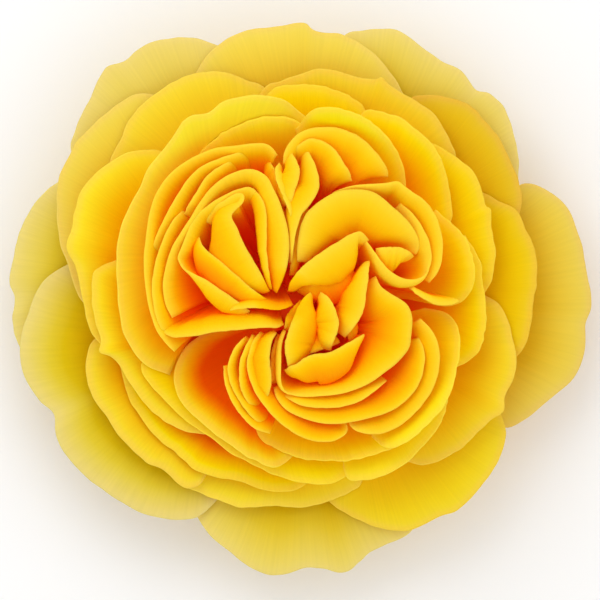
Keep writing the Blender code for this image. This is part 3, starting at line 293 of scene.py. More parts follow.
# The heart's quarters: name, the point its petals fold down towards, and its petals. Each petal has the fall
# of its turned lip for its width, the lip's widths along the rim, and the rim's points seen from above. The
# lip lies to the left of the rim as it runs, or to the right where its width is below 0.
QUARTERS = (
    ("left", (-10.6, 13.6), (
        (0.5, (1, 1.2, 1, 1, 1.2),
         ((-4.4, 29), (-5.6, 30.6), (-7.6, 31.4), (-12, 31), (-17, 30.4), (-20, 29.2), (-22.4, 28),
          (-25.6, 25.6), (-28.4, 22), (-30, 18), (-30.8, 13), (-31.2, 7.6), (-30.8, 2), (-29.8, -3),
          (-28.4, -6.6), (-26.8, -8.8), (-25.2, -10.4))),
        (0.5, (1, 1, 1, 1, 0.8),
         ((-10, 30.2), (-12.8, 29.4), (-16, 28.4), (-19, 27.2), (-21.4, 25.4), (-23.4, 22.8),
          (-25.4, 19.6), (-27.2, 16.2), (-28.8, 12.6), (-29.8, 9))),
        (0.5, (0.8, 1, 1.2, 1.2, 1),
         ((-23.4, 18), (-25, 16.4), (-26.4, 14.4), (-27.4, 12.2), (-28.4, 9.6), (-29.2, 6.4),
          (-29.6, 3), (-29.4, -0.4), (-28.6, -4), (-27, -7.2))),
        (0.5, (0.8, 1.2, 1.2, 0.8),
         ((-13.2, 28.2), (-15.2, 27.2), (-17.8, 25.6), (-19.4, 23.8), (-20.8, 21.6), (-22.2, 19.2),
          (-23.2, 17.2))),
        (0.5, (0.8, 5.5, 6, 3.5, 1.6, 1, 1, 1, 1, 1),
         ((-4.6, 1.4), (-3.4, 4), (-2.4, 7.6), (-2.2, 11.6), (-2.8, 15.6), (-4, 19.4), (-5.4, 22.4),
          (-6.6, 24.6), (-8.6, 26), (-11, 26.2), (-14, 25.2), (-16.6, 23.6), (-18.6, 21.6),
          (-20.4, 19), (-22, 16.4), (-23.8, 13.6), (-25.6, 10.6), (-26.8, 7), (-27.4, 3), (-27, -0.6),
          (-25.6, -3.6))),
        (0.5, (0.6, 1.2, 1.6, 2, 2.4, 2.4, 1.6),
         ((-5.6, 2.2), (-6.2, 5.8), (-6.6, 9.6), (-6.6, 13), (-6.6, 16.4), (-7, 18.8), (-8, 20.8),
          (-9.4, 22.4))),
        (0.6, (2, 1.6, 1.4, 1.2, 1.2, 0.8, -0.6, -4, -5, -2),
         ((-7.8, 20.2), (-8.6, 21.6), (-10, 22.6), (-11.6, 22.4), (-13.6, 21.8), (-16, 20.6),
          (-18.4, 19), (-20.4, 17.4), (-21.8, 15.2), (-22.8, 12.8), (-23.8, 10.2), (-24.4, 8.2),
          (-23.4, 6.6), (-21.4, 5.4), (-19, 4.2), (-16, 2.2), (-13, 0.2), (-10, -2.2))),
        (0.6, (-1, -6, -8, -7, -4, -1),
         ((-20.2, 12.6), (-19.4, 10.8), (-18, 9.4), (-16, 7.8), (-13.4, 5.6), (-10.6, 3.2),
          (-8.4, 1.4), (-6.4, 0))),
        (0.25, (-1.2, -2.4, -3, -1, -4.5, -8.5, -8.5, -6, -1.5),
         ((-19, 15.6), (-18.2, 17.8), (-16.6, 19.2), (-14.8, 20.2), (-12.6, 21.4), (-11.2, 21),
          (-11.4, 19.4), (-12.8, 18), (-13.6, 16.6), (-12.8, 14.8), (-12, 12.8), (-10.8, 10.4),
          (-9.4, 8), (-7.6, 5), (-6, 1.8))),
        (0.5, (0.8, 2.2, 2.6, 2.4, 2, 0.8),
         ((-28, -6.2), (-25.6, -7.4), (-22.8, -7.4), (-20, -7), (-17, -6.4), (-13, -6), (-10, -5.8),
          (-7, -5.6), (-4.6, -5.6), (-3.2, -5))),
        (0.5, (0.6, 1.4, 1.2, 0.6),
         ((-14.4, -2.2), (-12, -1.8), (-9.6, -1.6), (-7.2, -1.8), (-4.6, -2), (-2.6, -1.6),
          (-1.4, -1))),
    )),
    ("top", (1.2, 20.4), (
        (0.6, (-0.8, -1.6, -3, -4, -5.5, -6.5, -6.5, -6),
         ((-3.4, 27.2), (-3.2, 29.4), (-2.2, 31.4), (-0.6, 33.2), (1.6, 34.2), (4.4, 34.6),
          (7.6, 34.4), (10.4, 33.4), (13, 31.8), (15.2, 29.6), (16.8, 27.4), (17.6, 25.8),
          (17.6, 24.6))),
        (0.7, (-0.8, -2.5, -4, -4.5, -4.5, -3.5),
         ((-1.6, 30), (0, 31.2), (1.8, 32.2), (4, 32), (6, 31), (7.6, 29.4), (8.8, 27.4), (10, 25.6),
          (10.4, 23.8))),
        (0.4, (-1.2, -3.6, -5, -4, -1.5),
         ((-1.8, 29.8), (-0.6, 27.8), (0, 25.8), (-0.4, 23.6), (-1.2, 21.2), (-2, 18.6))),
        (0.4, (0.6, 1.6, 1.8, 1.2, 0.8, 0.6),
         ((-4.2, 27.4), (-5, 26.2), (-4.8, 24), (-3.8, 21.6), (-2.8, 19.2), (-2, 16.8), (-1.6, 14.4))),
        (0.5, (-0.6, -2.8, -4.5, -6, -5.5, -3.5, -1.5, -0.8, -0.6),
         ((1, 30.8), (2.2, 28.8), (3.2, 26.6), (3.8, 24.4), (3.8, 22.4), (3, 20.6), (1.8, 18.8),
          (0.4, 17), (-0.4, 14.8), (-1, 12.4), (-1.4, 9.6), (-1.6, 7.4))),
    )),
    ("right", (13.4, 12.4), (
        (0.5, (-0.6, -0.8, -1, -1.4, -1.8, -2.2, -2.4, -2.4, -2, -1),
         ((6.4, 21.4), (8.8, 22.4), (11.6, 23), (14.4, 23.2), (17.2, 23.4), (19.6, 23.8), (21, 22.8),
          (22.6, 21.6), (24.6, 20.2), (26.2, 18.4), (27.6, 15.8), (28.4, 12.8), (28.6, 9.8),
          (28.2, 7.2), (27.2, 5), (25.8, 3.4))),
        (0.5, (-2, -5.5, -8, -9, -8.5, -8, -7.5, -6.5, -3.5, -0.8),
         ((-0.6, 7.6), (-0.6, 10), (-0.2, 12.8), (0.4, 15.4), (1.4, 17.4), (3, 19), (5.2, 20.6),
          (7.6, 21.8), (10.4, 22.2), (13.2, 22), (15.8, 21), (18, 19.2), (20, 17.4), (22, 15.4),
          (23.4, 13), (24, 10.8), (23.2, 9))),
        (0.5, (-0.8, -1.4, -1.6, -1.4, -0.6, 1.2, 2, 1.6, 0.5, 0.4),
         ((20, 19.4), (22.2, 17.6), (24, 15.4), (25.4, 12.8), (26.2, 10), (26.2, 7.4), (25.2, 5.4),
          (23.4, 4.2), (21, 4.2), (18.8, 5.2), (17.2, 6.6), (15.6, 8.6), (14.4, 10.4), (13.2, 12.2))),
        (0.4, (-1, -4.4, -5.4, -4.8, -1.4),
         ((15.2, 10.4), (17, 10.6), (18.8, 10.6), (20.4, 10.4), (21.8, 9.8), (22.8, 8.8))),
        (0.5, (0.8, 1.2, 1.4, 1.2, 0.4),
         ((21.8, 2.4), (23.4, 1), (25.4, -0.2), (27.6, -1), (30, -1), (31.8, -0.2))),
        (0.4, (-1, -3.5, -6.5, -7.5, -6.5, -3.5, -1),
         ((-2.4, 1.8), (-2, 3.6), (-0.8, 5.4), (0.8, 7), (2.8, 8.6), (5.2, 10.2), (7.8, 11.8),
          (10.2, 13.2), (12.2, 13.6), (13.8, 12))),
    )),
    ("lower", (3.2, -9.2), (
        (0.8, (-0.8, -1.4, -1.2, 1, 1, 1.4, 3.5, 6, 7, 7, 5, 1),
         ((-2.8, -6.2), (-3.6, -8.6), (-3.8, -11.2), (-3.8, -14), (-3.8, -16.4), (-3, -18.2),
          (-1, -19.2), (1.8, -19.4), (4.8, -19.2), (8, -18.8), (11, -18), (13.6, -16.8), (16, -15.2),
          (18.4, -13.4), (20.4, -11.6), (21.8, -9.4), (22.2, -6.6), (22.4, -3.6), (21.6, -1.2),
          (20, 0.2), (18, 1.4), (16.2, 2.8), (15.2, 4.8))),
        (0.5, (0.8, 1.6, 1.8, 1.6, 0.3),
         ((-3.2, -19.2), (-1.4, -20.4), (1.4, -21.4), (5, -21.6), (8.2, -21.4), (11, -20.6),
          (13.4, -19.4), (15.6, -17.8), (17.4, -16.2))),
        (0.6, (0.8, 2.2, 2.6, 2.6, 2.4, 2.6, 3, 2.6, 1.6),
         ((-5.4, -17.6), (-4.8, -19.6), (-3.4, -21.4), (-1.4, -22.8), (0.6, -23.6), (3.8, -24.6),
          (7, -24.8), (10.2, -24.4), (13.2, -23.8), (16.2, -23), (19, -21.8), (21.4, -20),
          (23.2, -17.8), (24.4, -15.2), (25, -12.2), (24.8, -9.6), (23.8, -7.4))),
        (0.6, (0.8, 2, 2.6, 2.8, 2.8, 2.6, 2, 1.2),
         ((9.6, -24), (10.2, -25.4), (11.8, -26.4), (14.2, -26.8), (17, -26.6), (20.2, -25),
          (23, -22.6), (25.4, -19.8), (27, -17), (27.8, -14), (28, -11), (27.4, -8.2), (26, -5.6),
          (24, -3.6))),
        (0.6, (0.8, 1.4, 1.6, 1.6, 2, 2.8, 3, 2.4, 1),
         ((-8, -6.2), (-9.4, -8), (-10.2, -10.2), (-10.6, -12.8), (-10.2, -15.6), (-9.2, -18.2),
          (-7.6, -20.6), (-5.8, -22.8), (-3.4, -25), (-0.8, -26.8), (2, -28), (4.8, -28.4), (7.4, -28),
          (9.2, -26.8), (9.6, -25.4), (9, -24))),
        (0.5, (0.8, 1, 1, 0.8),
         ((-15.4, -13.2), (-15.2, -16), (-14.2, -19.2), (-12.6, -22), (-10.6, -24.4), (-8.4, -26),
          (-6, -26.8))),
        (0.5, (0.8, 1, 1.2, 1, 0.8),
         ((-10.8, -7.2), (-12.4, -8.6), (-13.6, -10.4), (-14.4, -13), (-14.2, -16), (-13, -18.8),
          (-11.2, -21.6), (-9.2, -23.8), (-7.2, -25.2))),
        (0.5, (0.8, 1, 1, 0.8),
         ((-9.6, -6.8), (-10.8, -9), (-11.8, -11.6), (-12.2, -14.4), (-12, -17.4), (-10.8, -20),
          (-9, -22.2))),
        (0.5, (-0.8, -3, -5, -5.5, -4.5, -1.5),
         ((-4.6, -6.6), (-5.6, -8.4), (-6, -10.4), (-6, -12.8), (-5.8, -15.2), (-5.8, -17.4),
          (-6.4, -19.2), (-7.6, -19.8))),
        (0.6, (0.8, 4, 5.5, 6, 5.5, 3),
         ((2, 1.6), (0.8, 0.6), (-0.4, -1.4), (-1.4, -3.8), (-2.4, -6.4), (-3, -9), (-2.8, -11.6),
          (-2.4, -14))),
        (0.6, (-0.8, -3, -4.5, -4.5, -3.5, -1.5),
         ((4.2, 1.6), (5.6, 0.6), (6.6, -0.8), (7.4, -2.6), (7.8, -4.6), (7.4, -6.6), (6.6, -8.6),
          (6.2, -10.2))),
        (0.5, (-0.8, -2.2, -3.8, -4.2, -3.5, -1.5),
         ((14, 7.8), (13.8, 6), (13.6, 4), (13.2, 1), (12.8, -1.6), (12, -3.8), (10.4, -6), (9, -7.6))),
        (0.4, (-2, -5.5, -7.5, -7.5, -6, -3, -0.6),
         ((-3.2, -14), (-2, -13.2), (-0.6, -12.6), (1.2, -11.4), (3.2, -10.8), (5.4, -10.6),
          (7.4, -9.8), (9.4, -8.6), (11.2, -7.6), (12.8, -6.8))),
    )),
)


def extended(points):
    """Points with one more at either end, straight on."""
    pts = np.array(points, float)
    return np.vstack([2 * pts[0] - pts[1], pts, 2 * pts[-1] - pts[-2]])


def bend(a, b, c, d, t):
    """Points at t, 0 to 1, on the smooth curve from b to c that comes from a and leads to d."""
    return 0.5 * (2 * b + (c - a) * t + (2 * a - 5 * b + 4 * c - d) * t ** 2
                  + (3 * b - a - 3 * c + d) * t ** 3)


def catmull(points, count):
    """count + 1 points, evenly spaced along a smooth curve through points."""
    ends = extended(points)
    t = np.linspace(0, 1, SPAN_STEPS, endpoint=False)[:, None]
    spans = [bend(a, b, c, d, t) for a, b, c, d in zip(ends, ends[1:], ends[2:], ends[3:])]
    fine = np.vstack(spans + [ends[-2:-1]])
    reach = np.concatenate([[0.0], np.cumsum(np.linalg.norm(np.diff(fine, axis=0), axis=1))])
    want = np.linspace(0, reach[-1], count + 1)
    return np.stack([np.interp(want, reach, fine[:, k]) for k in range(fine.shape[1])], axis=1)


def section(knots, v):
    """Points at v, 0 to 1, on a smooth curve through evenly spaced knots."""
    ends = extended(knots)
    last = len(knots) - 1
    k = np.minimum((v * last).astype(int), last - 1)
    t = (v * last - k)[:, None]
    return bend(ends[k], ends[k + 1], ends[k + 2], ends[k + 3], t)


def nest(level, v):
    """Radii and heights on the nested surface of a level, at v from claw to rim."""
    for (low, near), (high, far) in zip(LEVELS, LEVELS[1:]):
        if level <= high:
            break
    share = (level - low) / (high - low)
    return section(near, v) * (1 - share) + section(far, v) * share


STEPS = np.linspace(0, 1, 400)
HEART_WALL = nest(HEART_LEVEL, STEPS)


def closing(height):
    """How far the heart has closed in at a height: 1 at its top, less towards the foot."""
    return (np.interp(height, HEART_WALL[:, 1], HEART_WALL[:, 0])
            / np.interp(HEART_TOP, HEART_WALL[:, 1], HEART_WALL[:, 0]))


def wander(values, seed, waves):
    """A smooth wavy number along values, about -1 to 1, the same each run."""
    draw = np.random.default_rng(seed)
    total = np.zeros_like(values)
    for k in range(1, waves + 1):
        tall = draw.uniform(WAVE_LEAST, 1.0) / k ** WAVE_FADE
        total += tall * np.sin(2 * math.pi * k * values + draw.uniform(0, 2 * math.pi))
    return total / WAVE_SUM


def smooth(values, passes):
    """Values with their corners rounded off."""
    for _ in range(passes):
        middle = (values[:-2] + 2 * values[1:-1] + values[2:]) / 4
        values = np.concatenate([values[:1], middle, values[-1:]])
    return values


def whorl_petal(level, rim, shade_rate, seed):
    """A nested petal's sheet, from its level and its rim seen from above."""
    edge = catmull(rim, WHORL_ACROSS)
    angles = np.unwrap(np.arctan2(edge[:, 1], edge[:, 0]))
    u = np.linspace(0, 1, WHORL_ACROSS + 1)
    radii = np.linalg.norm(edge, axis=1) + RIM_WANDER * wander(u, seed + RIM_SEED, RIM_WAVES)
    curve = nest(level, STEPS)
    tops = np.interp(radii, curve[:, 0], STEPS)
    middle = (angles[0] + angles[-1]) / 2
    v = 1 - (1 - np.linspace(0, 1, WHORL_UP + 1)) ** ROW_CROWDING
    up = np.broadcast_to(v[:, None], (WHORL_UP + 1, WHORL_ACROSS + 1))
    width = CLAW_WIDTH + (1 - CLAW_WIDTH) * up ** CLAW_POWER
    angle = middle + (angles[None, :] - middle) * width
    flow = (tops[None, :] * up).ravel()
    radius = np.interp(flow, STEPS, curve[:, 0]).reshape(up.shape)
    height = np.interp(flow, STEPS, curve[:, 1]).reshape(up.shape)
    ruffle = 0
    for extra, waves, tall, power in WHORL_RUFFLES:
        ruffle = ruffle + wander(u, seed + extra, waves)[None, :] * tall * up ** power
    curled = np.clip((up - CURL_START) / (1 - CURL_START), 0, 1) ** 2
    height = height + ruffle - (CURL + CURL_MORE * (1 - level)) * curled
    grid = np.stack([radius * np.cos(angle), radius * np.sin(angle), height], axis=-1)
    shade_rates = np.atleast_1d(shade_rate)
    along = np.interp(u, np.linspace(0, 1, len(shade_rates)), shade_rates)
    # Its tone: the painted highlight of the pale strip, then painted shade deepening away from the rim.
    return sheet_of(grid, tone_of(grid[::-1], along, LIT_RIM_STRIP)[::-1])


def tone_of(grid, shade_rate, strip=0.0):
    """A petal's tone, 1 at the rim and 0 at TONE_REACH from it, for a grid of points, rim first: the falling
    tone gives painted shade.

    Past a strip along the rim the distance counts shade_rate times. Near the eye of the heart, where the
    folds meet, it counts as more, for deeper painted shade there.
    """
    steps = np.linalg.norm(np.diff(grid, axis=0), axis=2)
    within = np.clip(strip - (np.cumsum(steps, axis=0) - steps), 0, steps)
    counted = within + (steps - within) * shade_rate
    run = np.concatenate([np.zeros_like(grid[:1, :, 0]), np.cumsum(counted, axis=0)])
    from_eye = np.hypot(grid[..., 0] - EYE[0], grid[..., 1] - EYE[1])
    run = run + EYE_SHADE * np.clip(1 - from_eye / EYE_REACH, 0, 1)
    return np.clip(1 - run / TONE_REACH, 0, 1)


def fold_petal(centre, fall, lips, rim, shade_rate, seed, sunk=0.0):
    """A folded petal's sheet: a turned lip, then a wall to the foot. Its rim lies sunk below the others'."""
    middle = np.array(centre, float)
    edge = catmull(rim, FOLD_ACROSS)
    u = np.linspace(0, 1, FOLD_ACROSS + 1)
    ahead = np.gradient(edge, axis=0)
    left = smooth(np.column_stack([-ahead[:, 1], ahead[:, 0]]), TURN_PASSES)
    left /= np.linalg.norm(left, axis=1, keepdims=True)
    edge = edge + left * (FOLD_WANDER * wander(u, seed + RIM_SEED, FOLD_RIM_WAVES))[:, None]
    width = smooth(np.interp(u, np.linspace(0, 1, len(lips)), lips), WIDTH_PASSES)
    top = HEART_TOP - HEART_DOME * (edge ** 2).sum(axis=1) - END_DROP * np.abs(2 * u - 1) ** END_POWER
    top = top + RUFFLE * wander(u, seed, RUFFLE_WAVES) - sunk
    rows = []
    turns = np.concatenate([np.linspace(0, 1, LIP_ROWS + 1), np.ones(WALL_ROWS)])
    sinks = np.concatenate([np.zeros(LIP_ROWS + 1), np.linspace(0, 1, WALL_ROWS + 1)[1:] ** WALL_POWER])
    for turn, sink in zip(turns * math.pi / 2, sinks):
        label = edge + left * (width * math.sin(turn))[:, None]
        height = top - (LIP_DROP + fall * np.abs(width)) * (1 - math.cos(turn))
        height = height - (height - FOLD_FOOT) * sink
        here = closing(height) / closing(top)
        plan = middle * here[:, None] + (label - middle) * (here ** 2)[:, None]
        rows.append(np.column_stack([plan, height]))
    grid = np.stack(rows)
    # Painted shade deepens faster down the wall into the gaps.
    faster = np.concatenate([np.ones(LIP_ROWS), np.full(WALL_ROWS, WALL_SHADE_RATE)])[:, None]
    return sheet_of(grid[::-1], tone_of(grid, shade_rate * faster)[::-1])


def sheet_of(grid, tone=None):
    """A sheet: its grid of points, foot first, how far across and up each is, and its tone for painted
    highlight and shade, 1 at the rim.
    """
    rows, columns = grid.shape[:2]
    up, across = np.meshgrid(np.linspace(0, 1, rows), np.linspace(0, 1, columns), indexing="ij")
    return grid, across, up, up if tone is None else tone


def heel(centre):
    """The sheet round the foot in which a quarter's petals are joined, closed at its top."""
    turns = np.linspace(0, 2 * math.pi, HEEL_SIDES + 1)
    rings = []
    for height, share in [(z, 1.0) for z in HEEL_RINGS] + list(HEEL_CAP):
        here = float(closing(height))
        radius = (HEEL_GROWTH * here * here + HEEL_LEAST) * share
        rings.append(np.column_stack([centre[0] * here + radius * np.cos(turns),
                                      centre[1] * here + radius * np.sin(turns),
                                      np.full(len(turns), height)]))
    # Tone 0 throughout: the heel has the deepest painted shade of the heart's colours.
    return sheet_of(np.stack(rings), np.zeros((len(rings), len(turns))))


def sepal(turn):
    """A turned-back sepal's sheet, base to tip."""
    v = np.linspace(0, 1, SEPAL_ALONG + 1)
    u = np.linspace(-1, 1, SEPAL_ACROSS + 1)
    spine = section(SEPAL_SPINE, v)
    up, side = np.meshgrid(v, u, indexing="ij")
    half = SEPAL_HALF_WIDTH * (SEPAL_BASE + SEPAL_SWELL * up) * (1 - up) ** SEPAL_TAPER + SEPAL_TIP
    x = np.broadcast_to(spine[:, :1], up.shape)
    z = spine[:, 1:] - SEPAL_CUP * (1 - up) * side ** 2
    y = half * side
    place = [x * math.cos(turn) - y * math.sin(turn), x * math.sin(turn) + y * math.cos(turn), z]
    return sheet_of(np.stack(place, axis=-1))


def normals_of(grid):
    """Unit normals of a grid of points."""
    across = np.gradient(grid, axis=1)
    up = np.gradient(grid, axis=0)
    normal = np.cross(across, up)
    return normal / np.maximum(np.linalg.norm(normal, axis=-1, keepdims=True), 1e-9)


def add(name, data):
    """A new object in the scene."""
    obj = bpy.data.objects.new(name, data)
    bpy.context.scene.collection.objects.link(obj)
    return obj


def sheets_object(name, sheets, thick, rim_thick):
    """One mesh of thin closed sheets, each from a grid, with thin rims and sides.

    It has two UV maps: petal holds how far across a sheet a point is and its tone for the painted highlight
    and shade, and OFBake lays the fronts and backs of the sheets out side by side. The narrow faces round a
    sheet are flat, so that its front is shaded as it lies.
    """
    places, faces, smooth_faces, petal_uv, bake_uv = [], [], [], [], []
    start = 0
    cells = math.ceil(math.sqrt(len(sheets) * 2))
    for n, (grid, across, up, tone) in enumerate(sheets):
        rows, columns = up.shape
        normal = normals_of(grid)
        side = np.minimum(across, 1 - across)
        within = np.clip(np.minimum((1 - up) / RIM_BLEND, side / SIDE_BLEND), 0, 1)
        half = 0.5 * (rim_thick + (thick - rim_thick) * np.sqrt(within))
        front = grid + normal * half[..., None]
        back = grid - normal * half[..., None]
        places.append(np.concatenate([front.reshape(-1, 3), back.reshape(-1, 3)]))
        index = np.arange(rows * columns).reshape(rows, columns) + start
        far = index + rows * columns
        quads = np.stack([index[:-1, :-1], index[:-1, 1:], index[1:, 1:], index[1:, :-1]], axis=-1)
        quads = quads.reshape(-1, 4)
        faces.append(quads)
        faces.append(quads[:, ::-1] + rows * columns)
        loop = np.concatenate([index[0, :], index[1:, -1], index[-1, -2::-1], index[-2:0:-1, 0]])
        other = np.concatenate([far[0, :], far[1:, -1], far[-1, -2::-1], far[-2:0:-1, 0]])
        following, beyond = np.roll(loop, -1), np.roll(other, -1)
        faces.append(np.stack([following, loop, other, beyond], axis=-1))
        smooth_faces.append(np.concatenate([np.ones(2 * len(quads), bool), np.zeros(len(loop), bool)]))
        flat = np.stack([across.ravel(), up.ravel()], axis=-1)
        shade = np.stack([across.ravel(), tone.ravel()], axis=-1)
        petal_uv.append(np.concatenate([shade, shade]))
        for k in range(2):
            cell = 2 * n + k
            corner = np.array([cell % cells, cell // cells], float)
            bake_uv.append((corner + BAKE_MARGIN + (1 - 2 * BAKE_MARGIN) * flat) / cells)
        start += 2 * rows * columns
    places = np.concatenate(places) * MM
    faces = np.concatenate(faces)
    mesh = bpy.data.meshes.new(name)
    mesh.from_pydata(places.tolist(), [], faces.tolist())
    corners = faces.ravel()
    for map_name, values in (("petal", petal_uv), ("OFBake", bake_uv)):
        layer = mesh.uv_layers.new(name=map_name)
        layer.data.foreach_set("uv", np.concatenate(values)[corners].astype(np.float32).ravel())
    mesh.polygons.foreach_set("use_smooth", np.concatenate(smooth_faces))
    return add(name, mesh)


def turned(name, profile, steps):
    """A smooth body turned about the Z axis from a profile of radii and heights."""
    mesh = bpy.data.meshes.new(name)
    points = [(radius * MM, 0.0, height * MM) for radius, height in profile]
    mesh.from_pydata(points, [(k, k + 1) for k in range(len(points) - 1)], [])
    obj = add(name, mesh)
    screw = obj.modifiers.new("turn", "SCREW")
    screw.steps = steps
    screw.render_steps = steps
    screw.use_merge_vertices = True
    screw.merge_threshold = MERGE_WITHIN * MM
    screw.use_smooth_shade = True
    return obj


def new_material(name):
    """A material with only its Principled shader, and its tree's nodes and links."""
    made = bpy.data.materials.new(name)
    made.use_nodes = True
    tree = made.node_tree
    return made, tree.nodes, tree.links, tree.nodes["Principled BSDF"]


def bumped(nodes, links, shader, relief, strength, distance):
    """Gives a shader's surface the relief of a node's output."""
    bump = nodes.new("ShaderNodeBump")
    bump.inputs["Strength"].default_value = strength
    bump.inputs["Distance"].default_value = distance
    links.new(relief, bump.inputs["Height"])
    links.new(bump.outputs["Normal"], shader.inputs["Normal"])


def petal_material(name, tones, seed):
    """Petal tissue with fine veins that run up the petal, with a painted highlight at the rim and painted
    shade away from it. tones are (distance from the rim, colour) pairs.
    """
    made, nodes, links, shader = new_material(name)
    place = nodes.new("ShaderNodeUVMap")
    place.uv_map = "petal"
    parts = nodes.new("ShaderNodeSeparateXYZ")
    links.new(place.outputs["UV"], parts.inputs["Vector"])
    # The tone in the petal map picks the colour: painted highlight at the rim, painted shade further in.
    ramp = nodes.new("ShaderNodeValToRGB")
    stops = ramp.color_ramp.elements
    stops[0].color = (*tones[-1][1], 1)
    stops[1].color = (*tones[0][1], 1)
    for run, colour in tones[1:-1]:
        stops.new(1 - run / TONE_REACH).color = (*colour, 1)
    links.new(parts.outputs["Y"], ramp.inputs["Fac"])

    stretch = nodes.new("ShaderNodeMapping")
    stretch.inputs["Location"].default_value = (seed * VEIN_SHIFT[0], seed * VEIN_SHIFT[1], 0)
    stretch.inputs["Scale"].default_value = VEIN_SCALE
    links.new(place.outputs["UV"], stretch.inputs["Vector"])
    veins = nodes.new("ShaderNodeTexNoise")
    veins.inputs["Scale"].default_value = 1.0
    veins.inputs["Detail"].default_value = 3.0
    links.new(stretch.outputs["Vector"], veins.inputs["Vector"])

    cloud = nodes.new("ShaderNodeTexNoise")
    cloud.inputs["Scale"].default_value = 3.0
    cloud.inputs["Detail"].default_value = 4.0
    links.new(place.outputs["UV"], cloud.inputs["Vector"])

    shade = nodes.new("ShaderNodeMapRange")
    shade.inputs["From Min"].default_value = 0.3
    shade.inputs["From Max"].default_value = 0.7
    shade.inputs["To Min"].default_value = 0.97
    shade.inputs["To Max"].default_value = 1.02
    links.new(veins.outputs["Fac"], shade.inputs["Value"])
    tint = nodes.new("ShaderNodeHueSaturation")
    links.new(shade.outputs["Result"], tint.inputs["Value"])
    links.new(ramp.outputs["Color"], tint.inputs["Color"])
    links.new(tint.outputs["Color"], shader.inputs["Base Color"])

    rough = nodes.new("ShaderNodeMapRange")
    rough.inputs["To Min"].default_value = 0.5
    rough.inputs["To Max"].default_value = 0.7
    links.new(cloud.outputs["Fac"], rough.inputs["Value"])
    links.new(rough.outputs["Result"], shader.inputs["Roughness"])
    bumped(nodes, links, shader, veins.outputs["Fac"], 0.1, 0.1 * MM)
    shader.inputs["Specular IOR Level"].default_value = 0.03
    shader.inputs["Subsurface Weight"].default_value = 0.3
    shader.inputs["Subsurface Radius"].default_value = (0.5, 0.5, 0.2)
    shader.inputs["Subsurface Scale"].default_value = 0.6 * MM
    return made


def green_material(name, colour, scale, crown_shade=None):
    """Green plant skin, mottled, with a soft gloss. Above CROWN_HEIGHT it has the painted shade colour
    crown_shade, if given.
    """
    made, nodes, links, shader = new_material(name)
    place = nodes.new("ShaderNodeTexCoord")
    noise = nodes.new("ShaderNodeTexNoise")
    noise.inputs["Scale"].default_value = scale
    noise.inputs["Detail"].default_value = 5.0
    links.new(place.outputs["Object"], noise.inputs["Vector"])
    ramp = nodes.new("ShaderNodeValToRGB")
    stops = ramp.color_ramp.elements
    stops[0].position = 0.3
    stops[0].color = (*(c * share for c, share in zip(colour, MOTTLE_DARK)), 1)
    stops[1].position = 0.7
    stops[1].color = (*(c * share for c, share in zip(colour, MOTTLE_LIGHT)), 1)
    links.new(noise.outputs["Fac"], ramp.inputs["Fac"])
    links.new(ramp.outputs["Color"], shader.inputs["Base Color"])
    # If given, painted shade above CROWN_HEIGHT in the dark red of the petals' feet.
    if crown_shade:
        parts = nodes.new("ShaderNodeSeparateXYZ")
        links.new(place.outputs["Object"], parts.inputs["Vector"])
        height = nodes.new("ShaderNodeMapRange")
        height.inputs["From Min"].default_value = (CROWN_HEIGHT - CROWN_BLEND) * MM
        height.inputs["From Max"].default_value = CROWN_HEIGHT * MM
        links.new(parts.outputs["Z"], height.inputs["Value"])
        mix = nodes.new("ShaderNodeMix")
        mix.data_type = "RGBA"
        mix.inputs["B"].default_value = (*crown_shade, 1)
        links.new(height.outputs["Result"], mix.inputs["Factor"])
        links.new(ramp.outputs["Color"], mix.inputs["A"])
        links.new(mix.outputs["Result"], shader.inputs["Base Color"])
    bumped(nodes, links, shader, noise.outputs["Fac"], 0.3, 0.3 * MM)
    shader.inputs["Roughness"].default_value = 0.5
    shader.inputs["Specular IOR Level"].default_value = 0.1
    return made


def keep(obj, node, material):
    """obj stands for a node of the part, with its material."""
    obj.data.materials.append(material)
    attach(obj, "root")
    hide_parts(node)


def nested_tones(pale, painted_light):
    """A nested petal's colours: pale is the guard petals' share, and painted_light below 1 makes them darker
    and more golden, painted shade.
    """
    tones = []
    for (run, inner), (_, guard) in zip(WHORL_TONES, GUARD_TONES):
        red, green, blue = (p + (q - p) * pale for p, q in zip(inner, guard))
        tones.append((run, (red * painted_light, green * painted_light * painted_light, blue)))
    return tones


def area_light(name, place, size, power):
    """A soft lamp that faces the bloom."""
    data = bpy.data.lights.new(name, "AREA")
    data.size = size
    data.energy = power
    lamp = add(name, data)
    lamp.location = place
    away = np.array(place) - np.array(LAMP_AIM) * MM
    lamp.rotation_euler = (math.atan2(math.hypot(away[0], away[1]), away[2]), 0,
                           math.atan2(away[1], away[0]) + math.pi / 2)


for number, (name, level, rim) in enumerate(WHORLS):
    node = "petal_" + name
    pale, shade_rate, painted_light = LOOKS[name]
    petal = sheets_object(name, [whorl_petal(level, rim, shade_rate, number)], SHEET_THICK, RIM_THICK)
    keep(petal, node, petal_material(node, nested_tones(pale, painted_light), number))

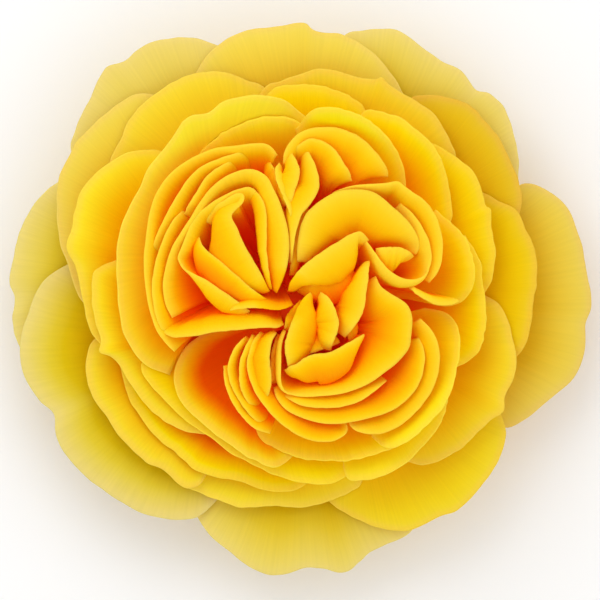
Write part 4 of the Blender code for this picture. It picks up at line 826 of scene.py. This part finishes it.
for number, (name, centre, folds) in enumerate(QUARTERS):
    node = "quarter_" + name
    first = QUARTER_SEEDS * number
    sheets = [fold_petal(centre, *fold, SHADE_RATE[name][k], first + k) for k, fold in enumerate(folds)]
    for k, (sunk, fold) in enumerate(INNER_FOLDS[name]):
        sheets.append(fold_petal(centre, *fold, INNER_SHADE_RATE, first + INNER_SEED + k, sunk))
    sheets.append(heel(centre))
    quarter = sheets_object("folds_" + name, sheets, SHEET_THICK, RIM_THICK)
    keep(quarter, node, petal_material(node, HEART_TONES, HEART_VEINS + number))

keep(turned("rose_hip", HIP_PROFILE, HIP_SIDES), "hip",
     green_material("hip", HIP_COLOUR, scale=400.0, crown_shade=HIP_CROWN_SHADE))
keep(turned("cut_stem", STUB_PROFILE, STUB_SIDES), "stem_stub",
     green_material("stem_stub", STEM_COLOUR, scale=500.0))
for k in range(SEPAL_COUNT):
    node = "sepal_%d" % (k + 1)
    sheet = sepal(math.radians(SEPAL_FIRST + 360 * k / SEPAL_COUNT))
    leaf = sheets_object("green_" + node, [sheet], SEPAL_THICK, SEPAL_RIM)
    keep(leaf, node, green_material(node, SEPAL_COLOUR, scale=300.0))

half = FLOOR_HALF * MM
floor_mesh = bpy.data.meshes.new("floor")
floor_mesh.from_pydata([(-half, -half, 0), (half, -half, 0), (half, half, 0), (-half, half, 0)], [],
                       [(0, 1, 2, 3)])
floor = add("floor", floor_mesh)
paint, _, _, paint_shader = new_material("floor")
paint_shader.inputs["Base Color"].default_value = (0.98, 0.98, 0.98, 1)
paint_shader.inputs["Roughness"].default_value = 0.9
floor_mesh.materials.append(paint)

camera_data = bpy.data.cameras.new("camera")
camera_data.type = "ORTHO"
camera_data.ortho_scale = VIEW_WIDTH * MM
camera_data.clip_start = 0.01
camera_data.clip_end = 20.0
camera = add("camera", camera_data)
camera.location = (0, 0, VIEW_HEIGHT * MM)
bpy.context.scene.camera = camera

area_light("key", place=(-0.10, 0.26, 0.42), size=0.35, power=0.52)
area_light("fill", place=(0.5, -0.3, 0.7), size=0.8, power=0.25)
world = bpy.data.worlds.new("studio")
world.use_nodes = True
sky = world.node_tree.nodes["Background"].inputs
sky["Color"].default_value = (1, 1, 1, 1)
sky["Strength"].default_value = 0.9
bpy.context.scene.world = world
bpy.context.scene.view_settings.view_transform = "Standard"
bpy.context.scene.cycles.max_bounces = 16
bpy.context.scene.cycles.diffuse_bounces = 14
